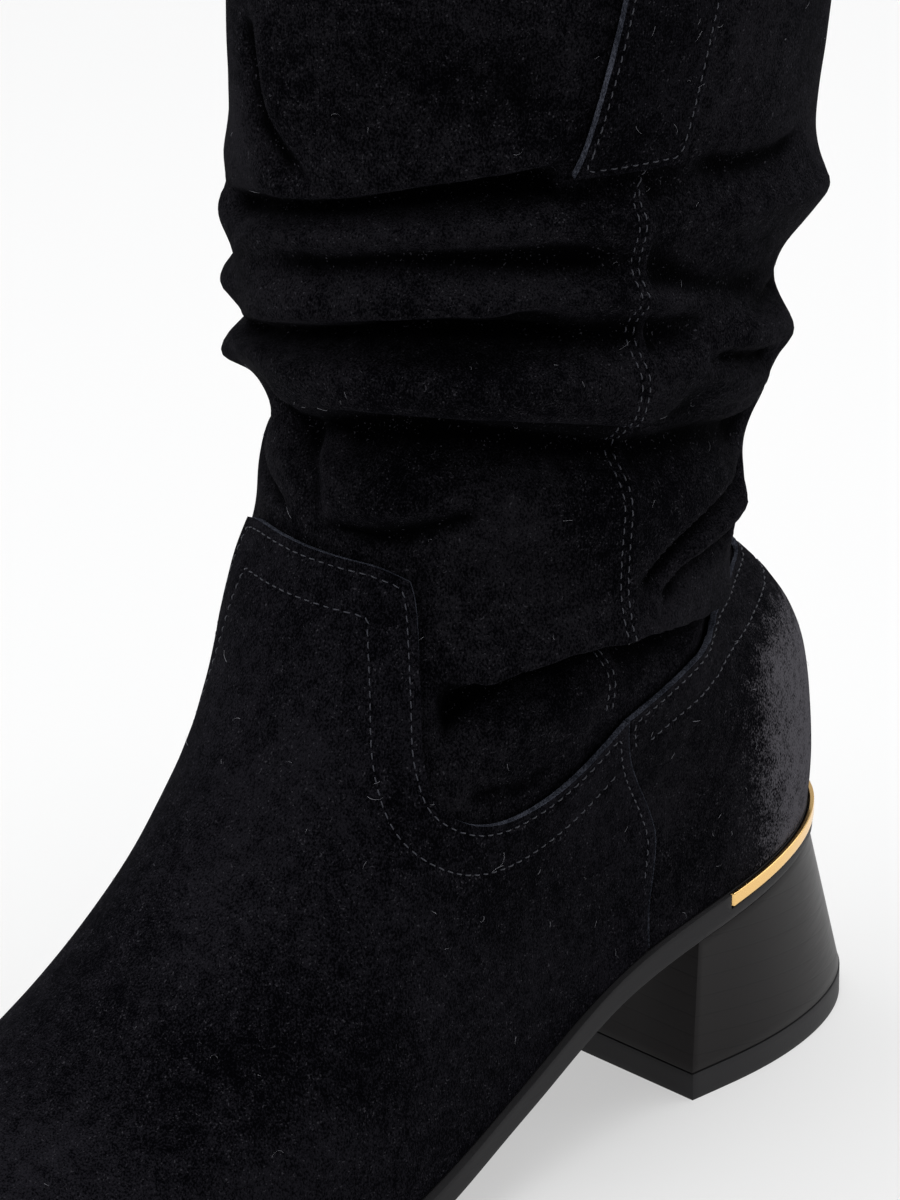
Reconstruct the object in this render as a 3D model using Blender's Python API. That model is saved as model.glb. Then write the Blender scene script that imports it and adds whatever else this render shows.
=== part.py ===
"""Left slouch boot: heeled sole, lasted foot and a soft shaft fallen into rolls.

It stands empty on its heel and forefoot. The toe points to -X, the outer side to -Y and the
shaft to +Z. The origin is the centre of the face that the top lift stands on.
"""

import bmesh
import bpy
import numpy as np

MM = 0.001


def table(columns, *rows):
    """Names the columns of a table that is written row by row."""
    return dict(zip(columns, zip(*rows)))


# Sole and heel, in metres
SOLE_LENGTH = 0.2555
SOLE_WIDTH = 0.086
SOLE_THICKNESS = 0.0058
SOLE_BACK = 0.0085
LIFT_ROUND = 0.054
LIFT_LEDGE = 0.0002
SEAT_HEIGHT = 0.0455
TOE_SPRING = 0.0065
EDGE_ROUND = 0.0008
LEDGE = 0.0015
LIFT_LENGTH = 0.065
LIFT_WIDTH = 0.0604
LIFT_THICKNESS = 0.0055
BREAST_LEAN = 0.001

# Metal strip round the heel
TRIM_HEIGHT = 0.0027
TRIM_DEPTH = 0.0011
TRIM_PROUD = 0.0002
TRIM_END = 0.0545

# Insole
INSOLE_THICKNESS = 0.002
INSOLE_MARGIN = 0.0013

# Upper
THROAT_HEIGHT = 0.130
BOOT_HEIGHT = 0.285
THROAT_WIDTH = 0.082
WALL = 0.002
GAP = 0.0003
SEAT_GAP = 0.0005
OVERLAY_GAP = 0.00045
LAP_STEP = 0.0011
LAP_FADE = 0.10
LAP_TURN = 0.5
LAP_FACE = 0.004
FOLD_DEPTH = 0.004
FOLD_PITCH = 0.014
OVERLAY_THICKNESS = 0.0012
SEAM_GAP = 0.0004
UPPER_INSET = LEDGE + OVERLAY_THICKNESS + OVERLAY_GAP

# Pull straps
STRAP_WIDTH = 0.0235
STRAP_THICKNESS = 0.0016
STRAP_RISE = 0.012

# Counts
COLUMNS = 44
FOOT_ROWS = 12
FOLD_ROWS = 25
COLLAR_ROWS = 4
SOLE_COLUMNS = 64
HEEL_COLUMNS = 14

# Sole outline, by share of its length: middle line and rounded half-width, as shares of SOLE_WIDTH
OUTLINE = table(
    ("station", "middle", "girth"),
    (0.00, 0.00, 0.52),
    (0.05, 0.00, 0.522),
    (0.11, 0.00, 0.502),
    (0.19, 0.003, 0.452),
    (0.285, 0.03, 0.385),
    (0.345, 0.048, 0.362),
    (0.40, 0.06, 0.368),
    (0.468, 0.06, 0.399),
    (0.545, 0.043, 0.462),
    (0.60, 0.024, 0.50),
    (0.655, 0.004, 0.524),
    (0.71, -0.012, 0.538),
    (0.77, -0.024, 0.546),
    (0.83, -0.034, 0.544),
    (0.907, -0.05, 0.53),
    (0.96, -0.062, 0.508),
    (1.00, -0.07, 0.49),
)
# Height of the sole's top, by share of its length, between the forefoot (0) and the heel seat (1)
PROFILE = table(
    ("station", "rise", "spring"),
    (0.00, 1.00, 0.00),
    (0.05, 0.985, 0.00),
    (0.19, 0.887, 0.00),
    (0.285, 0.776, 0.00),
    (0.335, 0.665, 0.00),
    (0.385, 0.524, 0.00),
    (0.462, 0.35, 0.00),
    (0.545, 0.171, 0.00),
    (0.62, 0.03, 0.00),
    (0.65, 0.00, 0.00),
    (0.74, 0.00, 0.00),
    (0.82, 0.00, 0.18),
    (0.92, 0.00, 0.62),
    (1.00, 0.00, 1.00),
)
# Loops of the upper, level 0 the feather line, 1 the throat, 2 the collar. Ends are shares of SOLE_LENGTH,
# rises are shares of the height left above the feather line, seam is how far the side seam is turned
LOOPS = table(
    ("level", "back", "front", "back_rise", "front_rise", "girth", "taper", "seam"),
    (0.00, 0.00, 1.00, 0.00, 0.00, 0.70, 0.00, -0.48),
    (0.08, -0.004, 0.982, 0.09, 0.085, 0.715, 0.08, -0.46),
    (0.18, -0.006, 0.905, 0.19, 0.16, 0.73, 0.14, -0.42),
    (0.30, -0.005, 0.78, 0.31, 0.25, 0.755, 0.18, -0.33),
    (0.43, 0.00, 0.708, 0.44, 0.365, 0.795, 0.20, -0.22),
    (0.56, 0.016, 0.643, 0.57, 0.495, 0.845, 0.21, -0.09),
    (0.68, 0.042, 0.587, 0.69, 0.62, 0.89, 0.21, 0.00),
    (0.80, 0.076, 0.553, 0.81, 0.765, 0.925, 0.20, 0.04),
    (0.90, 0.098, 0.531, 0.905, 0.885, 0.965, 0.14, 0.07),
    (1.00, 0.108, 0.51, 1.00, 1.00, 1.00, 0.04, 0.10),
    (1.20, 0.096, 0.501, 1.19, 1.19, 1.01, 0.00, 0.13),
    (1.32, 0.058, 0.528, 1.315, 1.315, 1.025, 0.00, 0.14),
    (1.50, 0.018, 0.541, 1.50, 1.50, 1.05, 0.00, 0.17),
    (1.70, -0.001, 0.543, 1.70, 1.70, 1.09, 0.00, 0.18),
    (2.00, -0.008, 0.548, 2.00, 2.00, 1.14, 0.00, 0.18),
)
BACK_THROAT = 0.885
SECTION_POWER = 2.3
RIDGE_STEPS = 200
RIDGE_CLIMB = 2.0
TURN_STEP = 0.01
NORMAL_STEP = 0.012

# Rolls of the slouched shaft: where round the leg (degrees, 0 the back, 90 outside, 180 the front), how
# far they reach, height as a share of throat to collar, climb towards the front, and shape in FOLD_DEPTH
# and FOLD_PITCH
FOLDS = table(
    ("turn", "reach", "height", "climb", "out", "above", "below"),
    (130, 105, 0.385, 0.09, -1.10, 0.40, 0.25),  # deep valley above the top roll
    (135, 200, 0.362, 0.09, 0.75, 0.30, 0.55),  # top roll, all round
    (215, 45, 0.355, 0.09, 0.50, 0.40, 0.50),  # top roll, inner front
    (35, 50, 0.365, 0.09, 1.00, 0.60, 0.70),  # top roll, outer rear
    (120, 120, 0.298, 0.09, -0.35, 0.40, 0.50),  # trough under the top roll
    (36, 45, 0.265, 0.09, -0.80, 0.45, 0.40),  # deep trough, outer rear
    (140, 200, 0.25, 0.10, 0.90, 0.40, 0.35),  # middle roll, all round
    (125, 80, 0.205, 0.09, -1.50, 0.25, 0.25),  # dark valley above the main roll
    (120, 200, 0.165, 0.08, 1.60, 0.45, 0.30),  # main roll, all round
    (45, 40, 0.155, 0.08, -0.80, 0.20, 0.20),  # crease between the rear rolls
    (110, 100, 0.10, 0.07, -0.90, 0.50, 0.50),  # hollow under the main roll
    (50, 45, 0.08, 0.05, 0.40, 0.30, 0.30),  # ankle bump, rear
    (50, 45, -0.02, 0.05, 0.40, 0.30, 0.30),  # lower ankle bump, rear
    (150, 90, 0.02, 0.05, 0.50, 0.80, 0.50),  # puff of the ankle, front
    (165, 75, -0.01, 0.02, -0.50, 0.25, 0.25),  # crease above the vamp
    (95, 60, -0.15, 0.00, -0.80, 0.35, 0.30),  # deep slanting crease above the counter
    (37, 50, 0.187, 0.08, 1.30, 0.35, 0.30),  # middle roll, outer rear
    (40, 45, 0.125, 0.08, 0.90, 0.25, 0.35),  # main roll, outer rear
    (220, 50, 0.18, 0.08, 1.10, 0.35, 0.30),  # main roll, inner front
    (220, 55, 0.42, 0.08, 0.50, 0.50, 0.30),  # step under the smooth shaft
    (300, 80, 0.36, 0.07, 0.90, 0.45, 0.35),  # top roll, inner rear
    (290, 85, 0.25, 0.07, 1.10, 0.40, 0.30),  # middle roll, inner rear
    (285, 90, 0.165, 0.06, 1.30, 0.40, 0.30),  # main roll, inner rear
    (330, 70, 0.06, 0.05, 0.60, 0.40, 0.30),  # ankle bump, inner rear
)
FOLD_PEAK = 145

# Where the lap of the side seam shows, by level
LAPS = table(
    ("level", "lap"),
    (0.00, 0.00),
    (0.71, 0.00),
    (0.79, 1.00),
    (1.46, 1.00),
    (1.50, 0.00),
    (2.00, 0.00),
)
# Top edges of the overlays, as levels by turn from the back (0) to the front (1)
VAMP_EDGE = table(
    ("turn", "level"),
    (0.50, 0.69),
    (0.54, 0.64),
    (0.57, 0.612),
    (0.625, 0.592),
    (0.675, 0.61),
    (0.715, 0.65),
    (0.745, 0.69),
    (0.765, 0.745),
    (0.78, 0.82),
    (0.793, 0.90),
    (0.805, 0.96),
    (0.82, 0.99),
    (0.85, 1.003),
    (1.00, 1.003),
)
COUNTER_EDGE = table(
    ("turn", "level"),
    (0.00, 0.79),
    (0.15, 0.785),
    (0.275, 0.768),
    (0.39, 0.733),
    (0.50, 0.69),
)
TONGUE_SIDE = (0.73, 0.83)
SEAM_LEVEL = 0.3
STIFF_EDGE = 0.05
FOLD_START = 0.88
FOLD_STOP = 1.52
OVERLAY_TOP = 0.10
OVERLAY_TOP_ROWS = 4

# Pull strap: middle line by level, and rows outside, over and inside the collar
STRAP = table(
    ("level", "turn"),
    (1.505, 0.522),
    (1.70, 0.488),
    (2.00, 0.45),
)
STRAP_INSIDE = 1.82
STRAP_ROWS = 8
STRAP_ARCH_ROWS = 7
STRAP_COLUMNS = 5


def smooth(table, column, at, by="station"):
    """Reads a table's column at the given places, without overshoot between the rows."""
    knots = np.array(table[by], float)
    values = np.array(table[column], float)
    at = np.clip(np.asarray(at, float), knots[0], knots[-1])
    width = np.diff(knots)
    slope = np.diff(values) / width
    tangent = np.empty(len(knots))
    tangent[0] = slope[0]
    tangent[-1] = slope[-1]
    product = slope[:-1] * slope[1:]
    total = np.where(product > 0, slope[:-1] + slope[1:], 1.0)
    tangent[1:-1] = np.where(product > 0, 2 * product / total, 0.0)
    row = np.clip(np.searchsorted(knots, at, side="right") - 1, 0, len(width) - 1)
    span = width[row]
    share = (at - knots[row]) / span
    rest = 1 - share
    return (
        values[row] * (1 + 2 * share) * rest**2
        + values[row + 1] * (3 - 2 * share) * share**2
        + tangent[row] * span * share * rest**2
        - tangent[row + 1] * span * rest * share**2
    )


def place(forward, outward, up):
    """Turns forward from the heel, outward from the middle line and up into scene points."""
    return np.stack([LIFT_LENGTH / 2 - forward, -outward, up], axis=-1)


def sole_top(forward):
    """Height of the sole's top face."""
    station = (forward - SOLE_BACK) / SOLE_LENGTH
    rise = smooth(PROFILE, "rise", station) * (SEAT_HEIGHT - SOLE_THICKNESS)
    return SOLE_THICKNESS + rise + smooth(PROFILE, "spring", station) * TOE_SPRING


def outline(forward, inset):
    """Middle line and half-width of the sole's outline, drawn in by an inset."""
    length = SOLE_LENGTH - 2 * inset
    station = np.clip((forward - SOLE_BACK - inset) / length, 0, 1)
    girth = smooth(OUTLINE, "girth", station) * SOLE_WIDTH - inset
    middle = smooth(OUTLINE, "middle", station) * SOLE_WIDTH
    return middle, girth * 2 * np.sqrt(station * (1 - station))


def round_stations(turns):
    """Shares of a length at turns of 0 (back), 1 (front) and 2 (back again), with the side of each."""
    turns = np.asarray(turns, float)
    side = np.where((turns == 0) | (turns == 1), 0.0, np.where(turns < 1, 1.0, -1.0))
    return (1 - np.cos(np.pi * turns)) / 2, side


def outline_loop(turns, inset, height):
    """Points round the sole's outline, at a height given as a function of forward."""
    station, side = round_stations(turns)
    forward = SOLE_BACK + inset + (SOLE_LENGTH - 2 * inset) * station
    middle, half = outline(forward, inset)
    return place(forward, middle + side * half, height(forward))


def loop_end(level, column):
    """Forward place and height of the loops' back or front end."""
    start = SOLE_BACK + UPPER_INSET
    length = SOLE_LENGTH - 2 * UPPER_INSET
    forward = start + smooth(LOOPS, column, level, "level") * length
    feather = sole_top(start + LOOPS[column][0] * length) + SEAT_GAP
    throat = THROAT_HEIGHT * (BACK_THROAT if column == "back" else 1.0)
    rise = smooth(LOOPS, column + "_rise", level, "level")
    collar = BOOT_HEIGHT - throat
    height = feather + np.minimum(rise, 1) * (throat - feather) + np.maximum(rise - 1, 0) * collar
    return forward, height


def fold_out(angle, height):
    """How far the slouched leather stands out at an angle round the leg and a height."""
    share = (height - THROAT_HEIGHT) / (BOOT_HEIGHT - THROAT_HEIGHT)
    pitch = FOLD_PITCH / (BOOT_HEIGHT - THROAT_HEIGHT)
    out = np.zeros(np.shape(angle))
    for turn, reach, crest, climb, depth, above, below in zip(*FOLDS.values()):
        away = (np.degrees(angle) - turn + 180) % 360 - 180
        window = np.cos(np.clip(away / reach, -1, 1) * np.pi / 2) ** 2
        rise = share - crest - climb * np.cos(angle - np.radians(FOLD_PEAK))
        width = pitch * np.where(rise > 0, above, below)
        out = out + depth * FOLD_DEPTH * window * np.exp(-((rise / width) ** 2))
    return out


def overlay_edge(half_turn):
    """Level of the overlays' top edge round the upper, below which the leather stays smooth."""
    vamp = smooth(VAMP_EDGE, "level", half_turn, "turn")
    counter = smooth(COUNTER_EDGE, "level", half_turn, "turn")
    return np.where(half_turn > LAP_TURN, vamp, counter)


def lap_step(half_turn, level):
    """Extra thickness where the front panel lies over the rear one, from the overlays to the straps."""
    fade = 1 - np.clip((half_turn - LAP_TURN) / LAP_FADE, 0, 1)
    span = smooth(LAPS, "lap", level, "level")
    return np.where(half_turn >= LAP_TURN, fade**2 * span * LAP_STEP, 0.0)


def upper_surface(turns, level, lapped=True):
    """Outer face of the upper at turns round it and levels up it, with the lap of the side seams."""
    turns, level = np.broadcast_arrays(np.asarray(turns, float), np.asarray(level, float))
    wrapped = (turns + 1) % 2 - 1
    half_turn = np.abs(wrapped)
    side = np.where(np.abs(np.sin(np.pi * half_turn)) < 1e-9, 0.0, np.sign(wrapped))
    angle = np.pi * half_turn + smooth(LOOPS, "seam", level, "level") * np.sin(np.pi * half_turn)
    share = (1 - np.cos(angle)) / 2
    back, back_height = loop_end(level, "back")
    front, front_height = loop_end(level, "front")
    forward = back + (front - back) * share
    height = back_height + (front_height - back_height) * share
    dip = sole_top(forward) - sole_top(back) * (1 - share) - sole_top(front) * share
    height = height + dip * np.clip(1 - level, 0, 1) ** 2
    ridge_forward, ridge_height = loop_end(np.linspace(0, 1, RIDGE_STEPS), "front")
    ridge = np.interp(-forward, -ridge_forward, ridge_height)
    ridge = ridge + np.maximum(ridge_forward[-1] - forward, 0) * RIDGE_CLIMB
    feather = sole_top(forward) + SEAT_GAP
    rise = np.clip((height - feather) / np.maximum(ridge - feather, MM), 0, 1)
    shift = (back - SOLE_BACK - UPPER_INSET) * (1 - share) ** 2
    last_middle, last_half = outline(forward - shift, UPPER_INSET)
    last_half = last_half * np.sqrt(1 - rise**SECTION_POWER)
    taper = 1 - smooth(LOOPS, "taper", level, "level") * np.cos(angle)
    shaft_half = smooth(LOOPS, "girth", level, "level") * THROAT_WIDTH / 2 * np.sin(angle) * taper
    blend = np.clip(level, 0, 1)
    blend = blend * blend * (3 - 2 * blend)
    half = last_half + (shaft_half - last_half) * blend
    middle = last_middle * (1 - blend)
    outward_x = np.sin(angle) * (front - back) / THROAT_WIDTH
    outward_f = -np.cos(angle)
    length = np.hypot(outward_x, outward_f)
    fold = fold_out(np.where(wrapped < 0, 2 * np.pi - angle, angle), height)
    fold = fold * np.clip((level - overlay_edge(half_turn)) / STIFF_EDGE, 0, 1)
    if lapped:
        fold = fold + lap_step(half_turn, level)
    return place(
        forward + fold * outward_f / length,
        middle + side * (half + fold * outward_x / length),
        height,
    )


def normals(turns, level, surface):
    """Outward directions of a surface, smoothed over short steps."""
    turns, level = np.broadcast_arrays(np.asarray(turns, float), np.asarray(level, float))
    round_it = surface(turns + NORMAL_STEP, level) - surface(turns - NORMAL_STEP, level)
    above = surface(turns, np.minimum(level + NORMAL_STEP, 2))
    up_it = above - surface(turns, np.maximum(level - NORMAL_STEP, 0))
    across = np.cross(up_it, round_it)
    return across / np.linalg.norm(across, axis=-1, keepdims=True)


def plain_surface(turns, level):
    """Outer face of the upper without the laps, which its inner face follows."""
    return upper_surface(turns, level, lapped=False)


def offset_surface(turns, level, distance):
    """The upper's plain face moved along its own outward directions."""
    return plain_surface(turns, level) + distance * normals(turns, level, plain_surface)


def add_object(name, points, faces, colour, roughness, metallic=0.0):
    """Makes one closed body with its own material from points and faces."""
    mesh = bpy.data.meshes.new(name)
    mesh.from_pydata([tuple(point) for point in points], [], faces)
    model = bmesh.new()
    model.from_mesh(mesh)
    bmesh.ops.recalc_face_normals(model, faces=model.faces)
    model.to_mesh(mesh)
    model.free()
    mesh.polygons.foreach_set("use_smooth", [True] * len(mesh.polygons))
    finish = bpy.data.materials.new(name + "_finish")
    finish.use_nodes = True
    shader = finish.node_tree.nodes["Principled BSDF"]
    shader.inputs["Base Color"].default_value = (*colour, 1.0)
    shader.inputs["Roughness"].default_value = roughness
    shader.inputs["Metallic"].default_value = metallic
    finish.diffuse_color = (*colour, 1.0)
    mesh.materials.append(finish)
    item = bpy.data.objects.new(name, mesh)
    bpy.context.scene.collection.objects.link(item)
    return item


def ring_faces(rings, columns, closed_rings=False):
    """Quads between closed loops that follow each other."""
    faces = []
    for ring in range(rings if closed_rings else rings - 1):
        low = ring * columns
        high = (ring + 1) % rings * columns
        for column in range(columns):
            following = (column + 1) % columns
            faces.append((low + column, low + following, high + following, high + column))
    return faces


def across_faces(start, columns):
    """Faces that close a loop whose points lie in pairs, side to side, from its first point."""
    faces = []
    for step in range(columns // 2):
        left = (start + step, start + step + 1)
        right = (start + (columns - step - 1) % columns, start + (columns - step) % columns)
        corners = (left[0], left[1], right[0], right[1])
        faces.append(tuple(dict.fromkeys(corners)))
    return faces


def slab(near, far):
    """Points and faces of a sheet between two grids of the same rows and columns."""
    rows, columns = near.shape[:2]
    points = np.concatenate([near.reshape(-1, 3), far.reshape(-1, 3)])
    grid = np.arange(rows * columns).reshape(rows, columns)
    other = grid + rows * columns
    faces = []
    for row in range(rows - 1):
        for column in range(columns - 1):
            for side in (grid, other):
                faces.append(
                    (
                        side[row, column],
                        side[row, column + 1],
                        side[row + 1, column + 1],
                        side[row + 1, column],
                    )
                )
    rim = [(0, column) for column in range(columns - 1)]
    rim += [(row, columns - 1) for row in range(rows - 1)]
    rim += [(rows - 1, column) for column in range(columns - 1, 0, -1)]
    rim += [(row, 0) for row in range(rows - 1, 0, -1)]
    for this, following in zip(rim, rim[1:] + rim[:1]):
        faces.append((grid[this], grid[following], other[following], other[this]))
    return points, [tuple(int(corner) for corner in face) for face in faces]


def upper_turns():
    """Turns of the upper's columns, with a second one at each side seam for the face of the lap."""
    turns = np.linspace(0, 2, COLUMNS, endpoint=False)
    faces = [LAP_TURN - LAP_FACE, 2 - LAP_TURN + LAP_FACE]
    return np.sort(np.concatenate([turns, faces]))


def upper_levels():
    """Levels of the upper's rows: close at the toe's edge and through the folds."""
    foot = FOLD_START * np.linspace(0, 1, FOOT_ROWS, endpoint=False) ** 1.1
    folds = np.linspace(FOLD_START, FOLD_STOP, FOLD_ROWS, endpoint=False)
    collar = np.linspace(FOLD_STOP, 2.0, COLLAR_ROWS)
    return np.concatenate([foot, folds, collar])


def build_upper():
    """Foot and slouched shaft as one wall, open at the collar and along the sole."""
    turns = upper_turns()[None, :]
    levels = upper_levels()[:, None]
    outer = upper_surface(turns, levels)
    inner = offset_surface(turns, levels, -WALL)
    inner[0, :, 2] = outer[0, :, 2]
    inner[-1, :, 2] = outer[-1, :, 2]
    points = np.concatenate([outer, inner[::-1]])
    faces = ring_faces(len(points), turns.size, closed_rings=True)
    add_object("upper", points.reshape(-1, 3), faces, (0.012, 0.012, 0.016), 0.95)


def arc_per_turn(turns, level):
    """How far the upper's face runs for each turn round it."""
    across = plain_surface(turns + TURN_STEP, level) - plain_surface(turns - TURN_STEP, level)
    return np.linalg.norm(across, axis=-1) / (2 * TURN_STEP)


def overlay(name, turns, edge, colour):
    """A panel lying on the upper from the feather line to its own top edge."""
    top = smooth(edge, "level", np.where(turns > 1, 2 - turns, np.abs(turns)), "turn")
    rows = upper_levels()
    rows = rows[rows < top.max() - OVERLAY_TOP]
    rows = np.concatenate([rows, np.linspace(rows[-1], top.max(), OVERLAY_TOP_ROWS)[1:]])
    levels = rows[:, None] / top.max() * top[None, :]
    turns = np.broadcast_to(turns[None, :], levels.shape)
    near = offset_surface(turns, levels, OVERLAY_GAP)
    far = offset_surface(turns, levels, OVERLAY_GAP + OVERLAY_THICKNESS)
    near[0, :, 2] = plain_surface(turns[0], levels[0])[:, 2]
    far[0, :, 2] = near[0, :, 2]
    points, faces = slab(near, far)
    add_object(name, points, faces, colour, 0.95)


def build_overlays():
    """Vamp with its instep tongue, and counter, meeting at the side seams."""
    gap = SEAM_GAP / 2 / arc_per_turn(LAP_TURN, SEAM_LEVEL)
    turns = upper_turns()
    inside = turns[(turns > LAP_TURN + TURN_STEP) & (turns < 2 - LAP_TURN - TURN_STEP)]
    steep = np.array([turn for turn in VAMP_EDGE["turn"] if TONGUE_SIDE[0] < turn < TONGUE_SIDE[1]])
    inside = np.concatenate([inside, steep, 2 - steep, [LAP_TURN + gap, 2 - LAP_TURN - gap]])
    inside = np.unique(inside)
    kept = np.concatenate([[True], np.diff(inside) > LAP_FACE])
    overlay("vamp_overlay", inside[kept], VAMP_EDGE, (0.014, 0.014, 0.018))
    behind = turns[turns < LAP_TURN - TURN_STEP]
    behind = np.concatenate([-behind[:0:-1], behind])
    behind = np.concatenate([[gap - LAP_TURN], behind, [LAP_TURN - gap]])
    overlay("counter_overlay", behind, COUNTER_EDGE, (0.016, 0.016, 0.020))


def build_strap(name, side):
    """Pull strap sewn outside the shaft, looped over the collar and sewn inside."""
    start = STRAP["level"][0]
    levels = start + (2.0 - start) * np.linspace(0, 1, STRAP_ROWS) ** 1.5
    inside = np.linspace(2.0, STRAP_INSIDE, STRAP_ROWS // 2)
    across = np.linspace(-0.5, 0.5, STRAP_COLUMNS) * STRAP_WIDTH

    def spread(level):
        middle = smooth(STRAP, "turn", level, "level")[:, None]
        turn = middle + across[None, :] / arc_per_turn(middle, level[:, None])
        return turn if side > 0 else 2 - turn[:, ::-1]

    outer = [
        offset_surface(spread(levels), levels[:, None], GAP + extra) for extra in (0.0, STRAP_THICKNESS)
    ]
    inner = [
        offset_surface(spread(inside), inside[:, None], -WALL - GAP - extra)
        for extra in (0.0, STRAP_THICKNESS)
    ]
    sheets = []
    for start, end, extra in zip(outer, inner, (0.0, STRAP_THICKNESS)):
        middle = (start[-1] + end[0]) / 2
        reach = (start[-1] - end[0]) / 2
        angle = np.linspace(0, np.pi, STRAP_ARCH_ROWS + 2)[1:-1, None, None]
        rise = np.array([0.0, 0.0, STRAP_RISE + extra])
        arch = middle + reach * np.cos(angle) + rise * np.sin(angle)
        sheets.append(np.concatenate([start, arch, end]))
    points, faces = slab(*sheets)
    add_object(name, points, faces, (0.012, 0.012, 0.015), 0.9)


def turn_at(forward):
    """The turn at which the sole's outline reaches a forward place."""
    station = (forward - SOLE_BACK) / SOLE_LENGTH
    return np.arccos(1 - 2 * station) / np.pi


def build_outsole():
    """Sole from heel seat to toe, with the rebate for the metal strip in its upper edge."""
    rebate_end = turn_at(TRIM_END + GAP)
    plain_start = turn_at(TRIM_END + 2 * GAP)
    half = np.linspace(0, 1, SOLE_COLUMNS // 2 + 1)
    half = half[(np.abs(half - rebate_end) > 0.012)]
    half = np.sort(np.concatenate([half, [rebate_end, plain_start]]))
    turns = np.concatenate([half, 2 - half[-2:0:-1]])
    near_heel = np.minimum(turns, 2 - turns) <= rebate_end + 1e-6
    depth = TRIM_DEPTH - TRIM_PROUD + GAP
    floor = TRIM_HEIGHT + GAP
    rings = (
        (EDGE_ROUND, EDGE_ROUND, SOLE_THICKNESS, SOLE_THICKNESS),
        (0.0, 0.0, SOLE_THICKNESS - EDGE_ROUND, SOLE_THICKNESS - EDGE_ROUND),
        (0.0, 0.0, floor, floor),
        (depth, 0.0, floor, floor / 2),
        (depth, 0.0, 0.0, 0.0),
    )
    loops = []
    for heel_inset, inset, heel_depth, below in rings:
        heel = outline_loop(turns, heel_inset, sole_top)
        heel[:, 2] -= heel_depth
        front = outline_loop(turns, inset, sole_top)
        front[:, 2] -= below
        loops.append(np.where(near_heel[:, None], heel, front))
    points = np.concatenate(loops)
    columns = turns.size
    faces = ring_faces(len(loops), columns)
    faces += across_faces(0, columns) + across_faces((len(loops) - 1) * columns, columns)
    add_object("outsole", points, faces, (0.028, 0.027, 0.030), 0.7)


def build_trim():
    """Metal strip let into the upper half of the sole edge round the heel."""
    end = turn_at(TRIM_END)
    turns = np.linspace(-end, end, SOLE_COLUMNS // 2 + 1)
    faces = []
    for inset in (TRIM_DEPTH - TRIM_PROUD, -TRIM_PROUD):
        top = outline_loop(np.abs(turns), inset, sole_top)
        middle, half = outline(LIFT_LENGTH / 2 - top[:, 0], inset)
        top[:, 1] = -middle - np.sign(turns) * half
        low = top.copy()
        low[:, 2] -= TRIM_HEIGHT
        faces.append(np.stack([low, top]))
    points, quads = slab(*faces)
    add_object("heel_trim", points, quads, (0.83, 0.55, 0.22), 0.22, 1.0)


def build_insole():
    """Board on the outsole, inside the upper."""
    half = np.linspace(0, 1, SOLE_COLUMNS // 2 + 1)
    turns = np.concatenate([half, 2 - half[-2:0:-1]])
    inset = UPPER_INSET + WALL + INSOLE_MARGIN
    loops = []
    for rise in (SEAT_GAP, SEAT_GAP + INSOLE_THICKNESS):
        loop = outline_loop(turns, inset, sole_top)
        loop[:, 2] += rise
        loops.append(loop)
    faces = ring_faces(len(loops), turns.size)
    faces += across_faces(0, turns.size) + across_faces(turns.size, turns.size)
    add_object("insole", np.concatenate(loops), faces, (0.10, 0.085, 0.07), 0.8)


def heel_columns():
    """Shares of the way from the back to the breast, round from one breast corner to the other."""
    share = 1 - np.cos(np.linspace(0, np.pi / 2, HEEL_COLUMNS + 1))
    sides = np.concatenate([np.ones(HEEL_COLUMNS + 1), -np.ones(HEEL_COLUMNS)])
    sides[0] = 0.0
    return np.concatenate([share, share[:0:-1]]), sides


def lift_loop(height, inset):
    """Ground outline of the heel: a straight part at the breast, rounded behind."""
    share, side = heel_columns()
    forward = inset + (LIFT_LENGTH - inset) * share
    behind = np.clip((LIFT_ROUND - forward) / (LIFT_ROUND - inset), 0, 1)
    half = (LIFT_WIDTH / 2 - inset) * np.sqrt(1 - behind**2)
    return place(forward, side * half, np.full(forward.shape, height))


def seat_loop():
    """Outline of the heel block where it meets the underside of the sole."""
    share, side = heel_columns()
    inset = EDGE_ROUND + GAP
    start = SOLE_BACK + inset
    forward = start + (LIFT_LENGTH - BREAST_LEAN - start) * share
    middle, half = outline(forward, inset)
    return place(forward, middle + side * half, sole_top(forward) - SOLE_THICKNESS - GAP)


def heel_body(name, loops, colour, roughness):
    """A body of heel loops on each other, closed across its breast, top and ground."""
    columns = len(loops[0])
    points = np.concatenate(loops)
    faces = ring_faces(len(loops), columns)
    faces += across_faces(0, columns) + across_faces((len(loops) - 1) * columns, columns)
    add_object(name, points, faces, colour, roughness)


def build_heel():
    """Stacked block flared to the ground, and the top lift under it."""
    low = lift_loop(LIFT_THICKNESS + GAP, LIFT_LEDGE)
    high = seat_loop()
    loops = [low + (high - low) * share for share in np.linspace(0, 1, 5)]
    heel_body("heel_block", loops, (0.022, 0.020, 0.022), 0.45)
    lift = [lift_loop(0.0, 0.0), lift_loop(LIFT_THICKNESS, 0.0)]
    heel_body("top_lift", lift, (0.030, 0.029, 0.032), 0.75)


def build_boot():
    """Clears the scene and makes every piece of the boot."""
    for item in list(bpy.data.objects):
        bpy.data.objects.remove(item, do_unlink=True)
    build_outsole()
    build_heel()
    build_trim()
    build_insole()
    build_upper()
    build_overlays()
    build_strap("pull_strap_lateral", 1)
    build_strap("pull_strap_medial", -1)


build_boot()
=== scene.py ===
"""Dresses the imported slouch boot: creased napped suede, stitched panels, stacked heel and metal strip."""

import logging
import math
from collections.abc import Iterator
from contextlib import contextmanager
from dataclasses import dataclass, field
from enum import Enum

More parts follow.
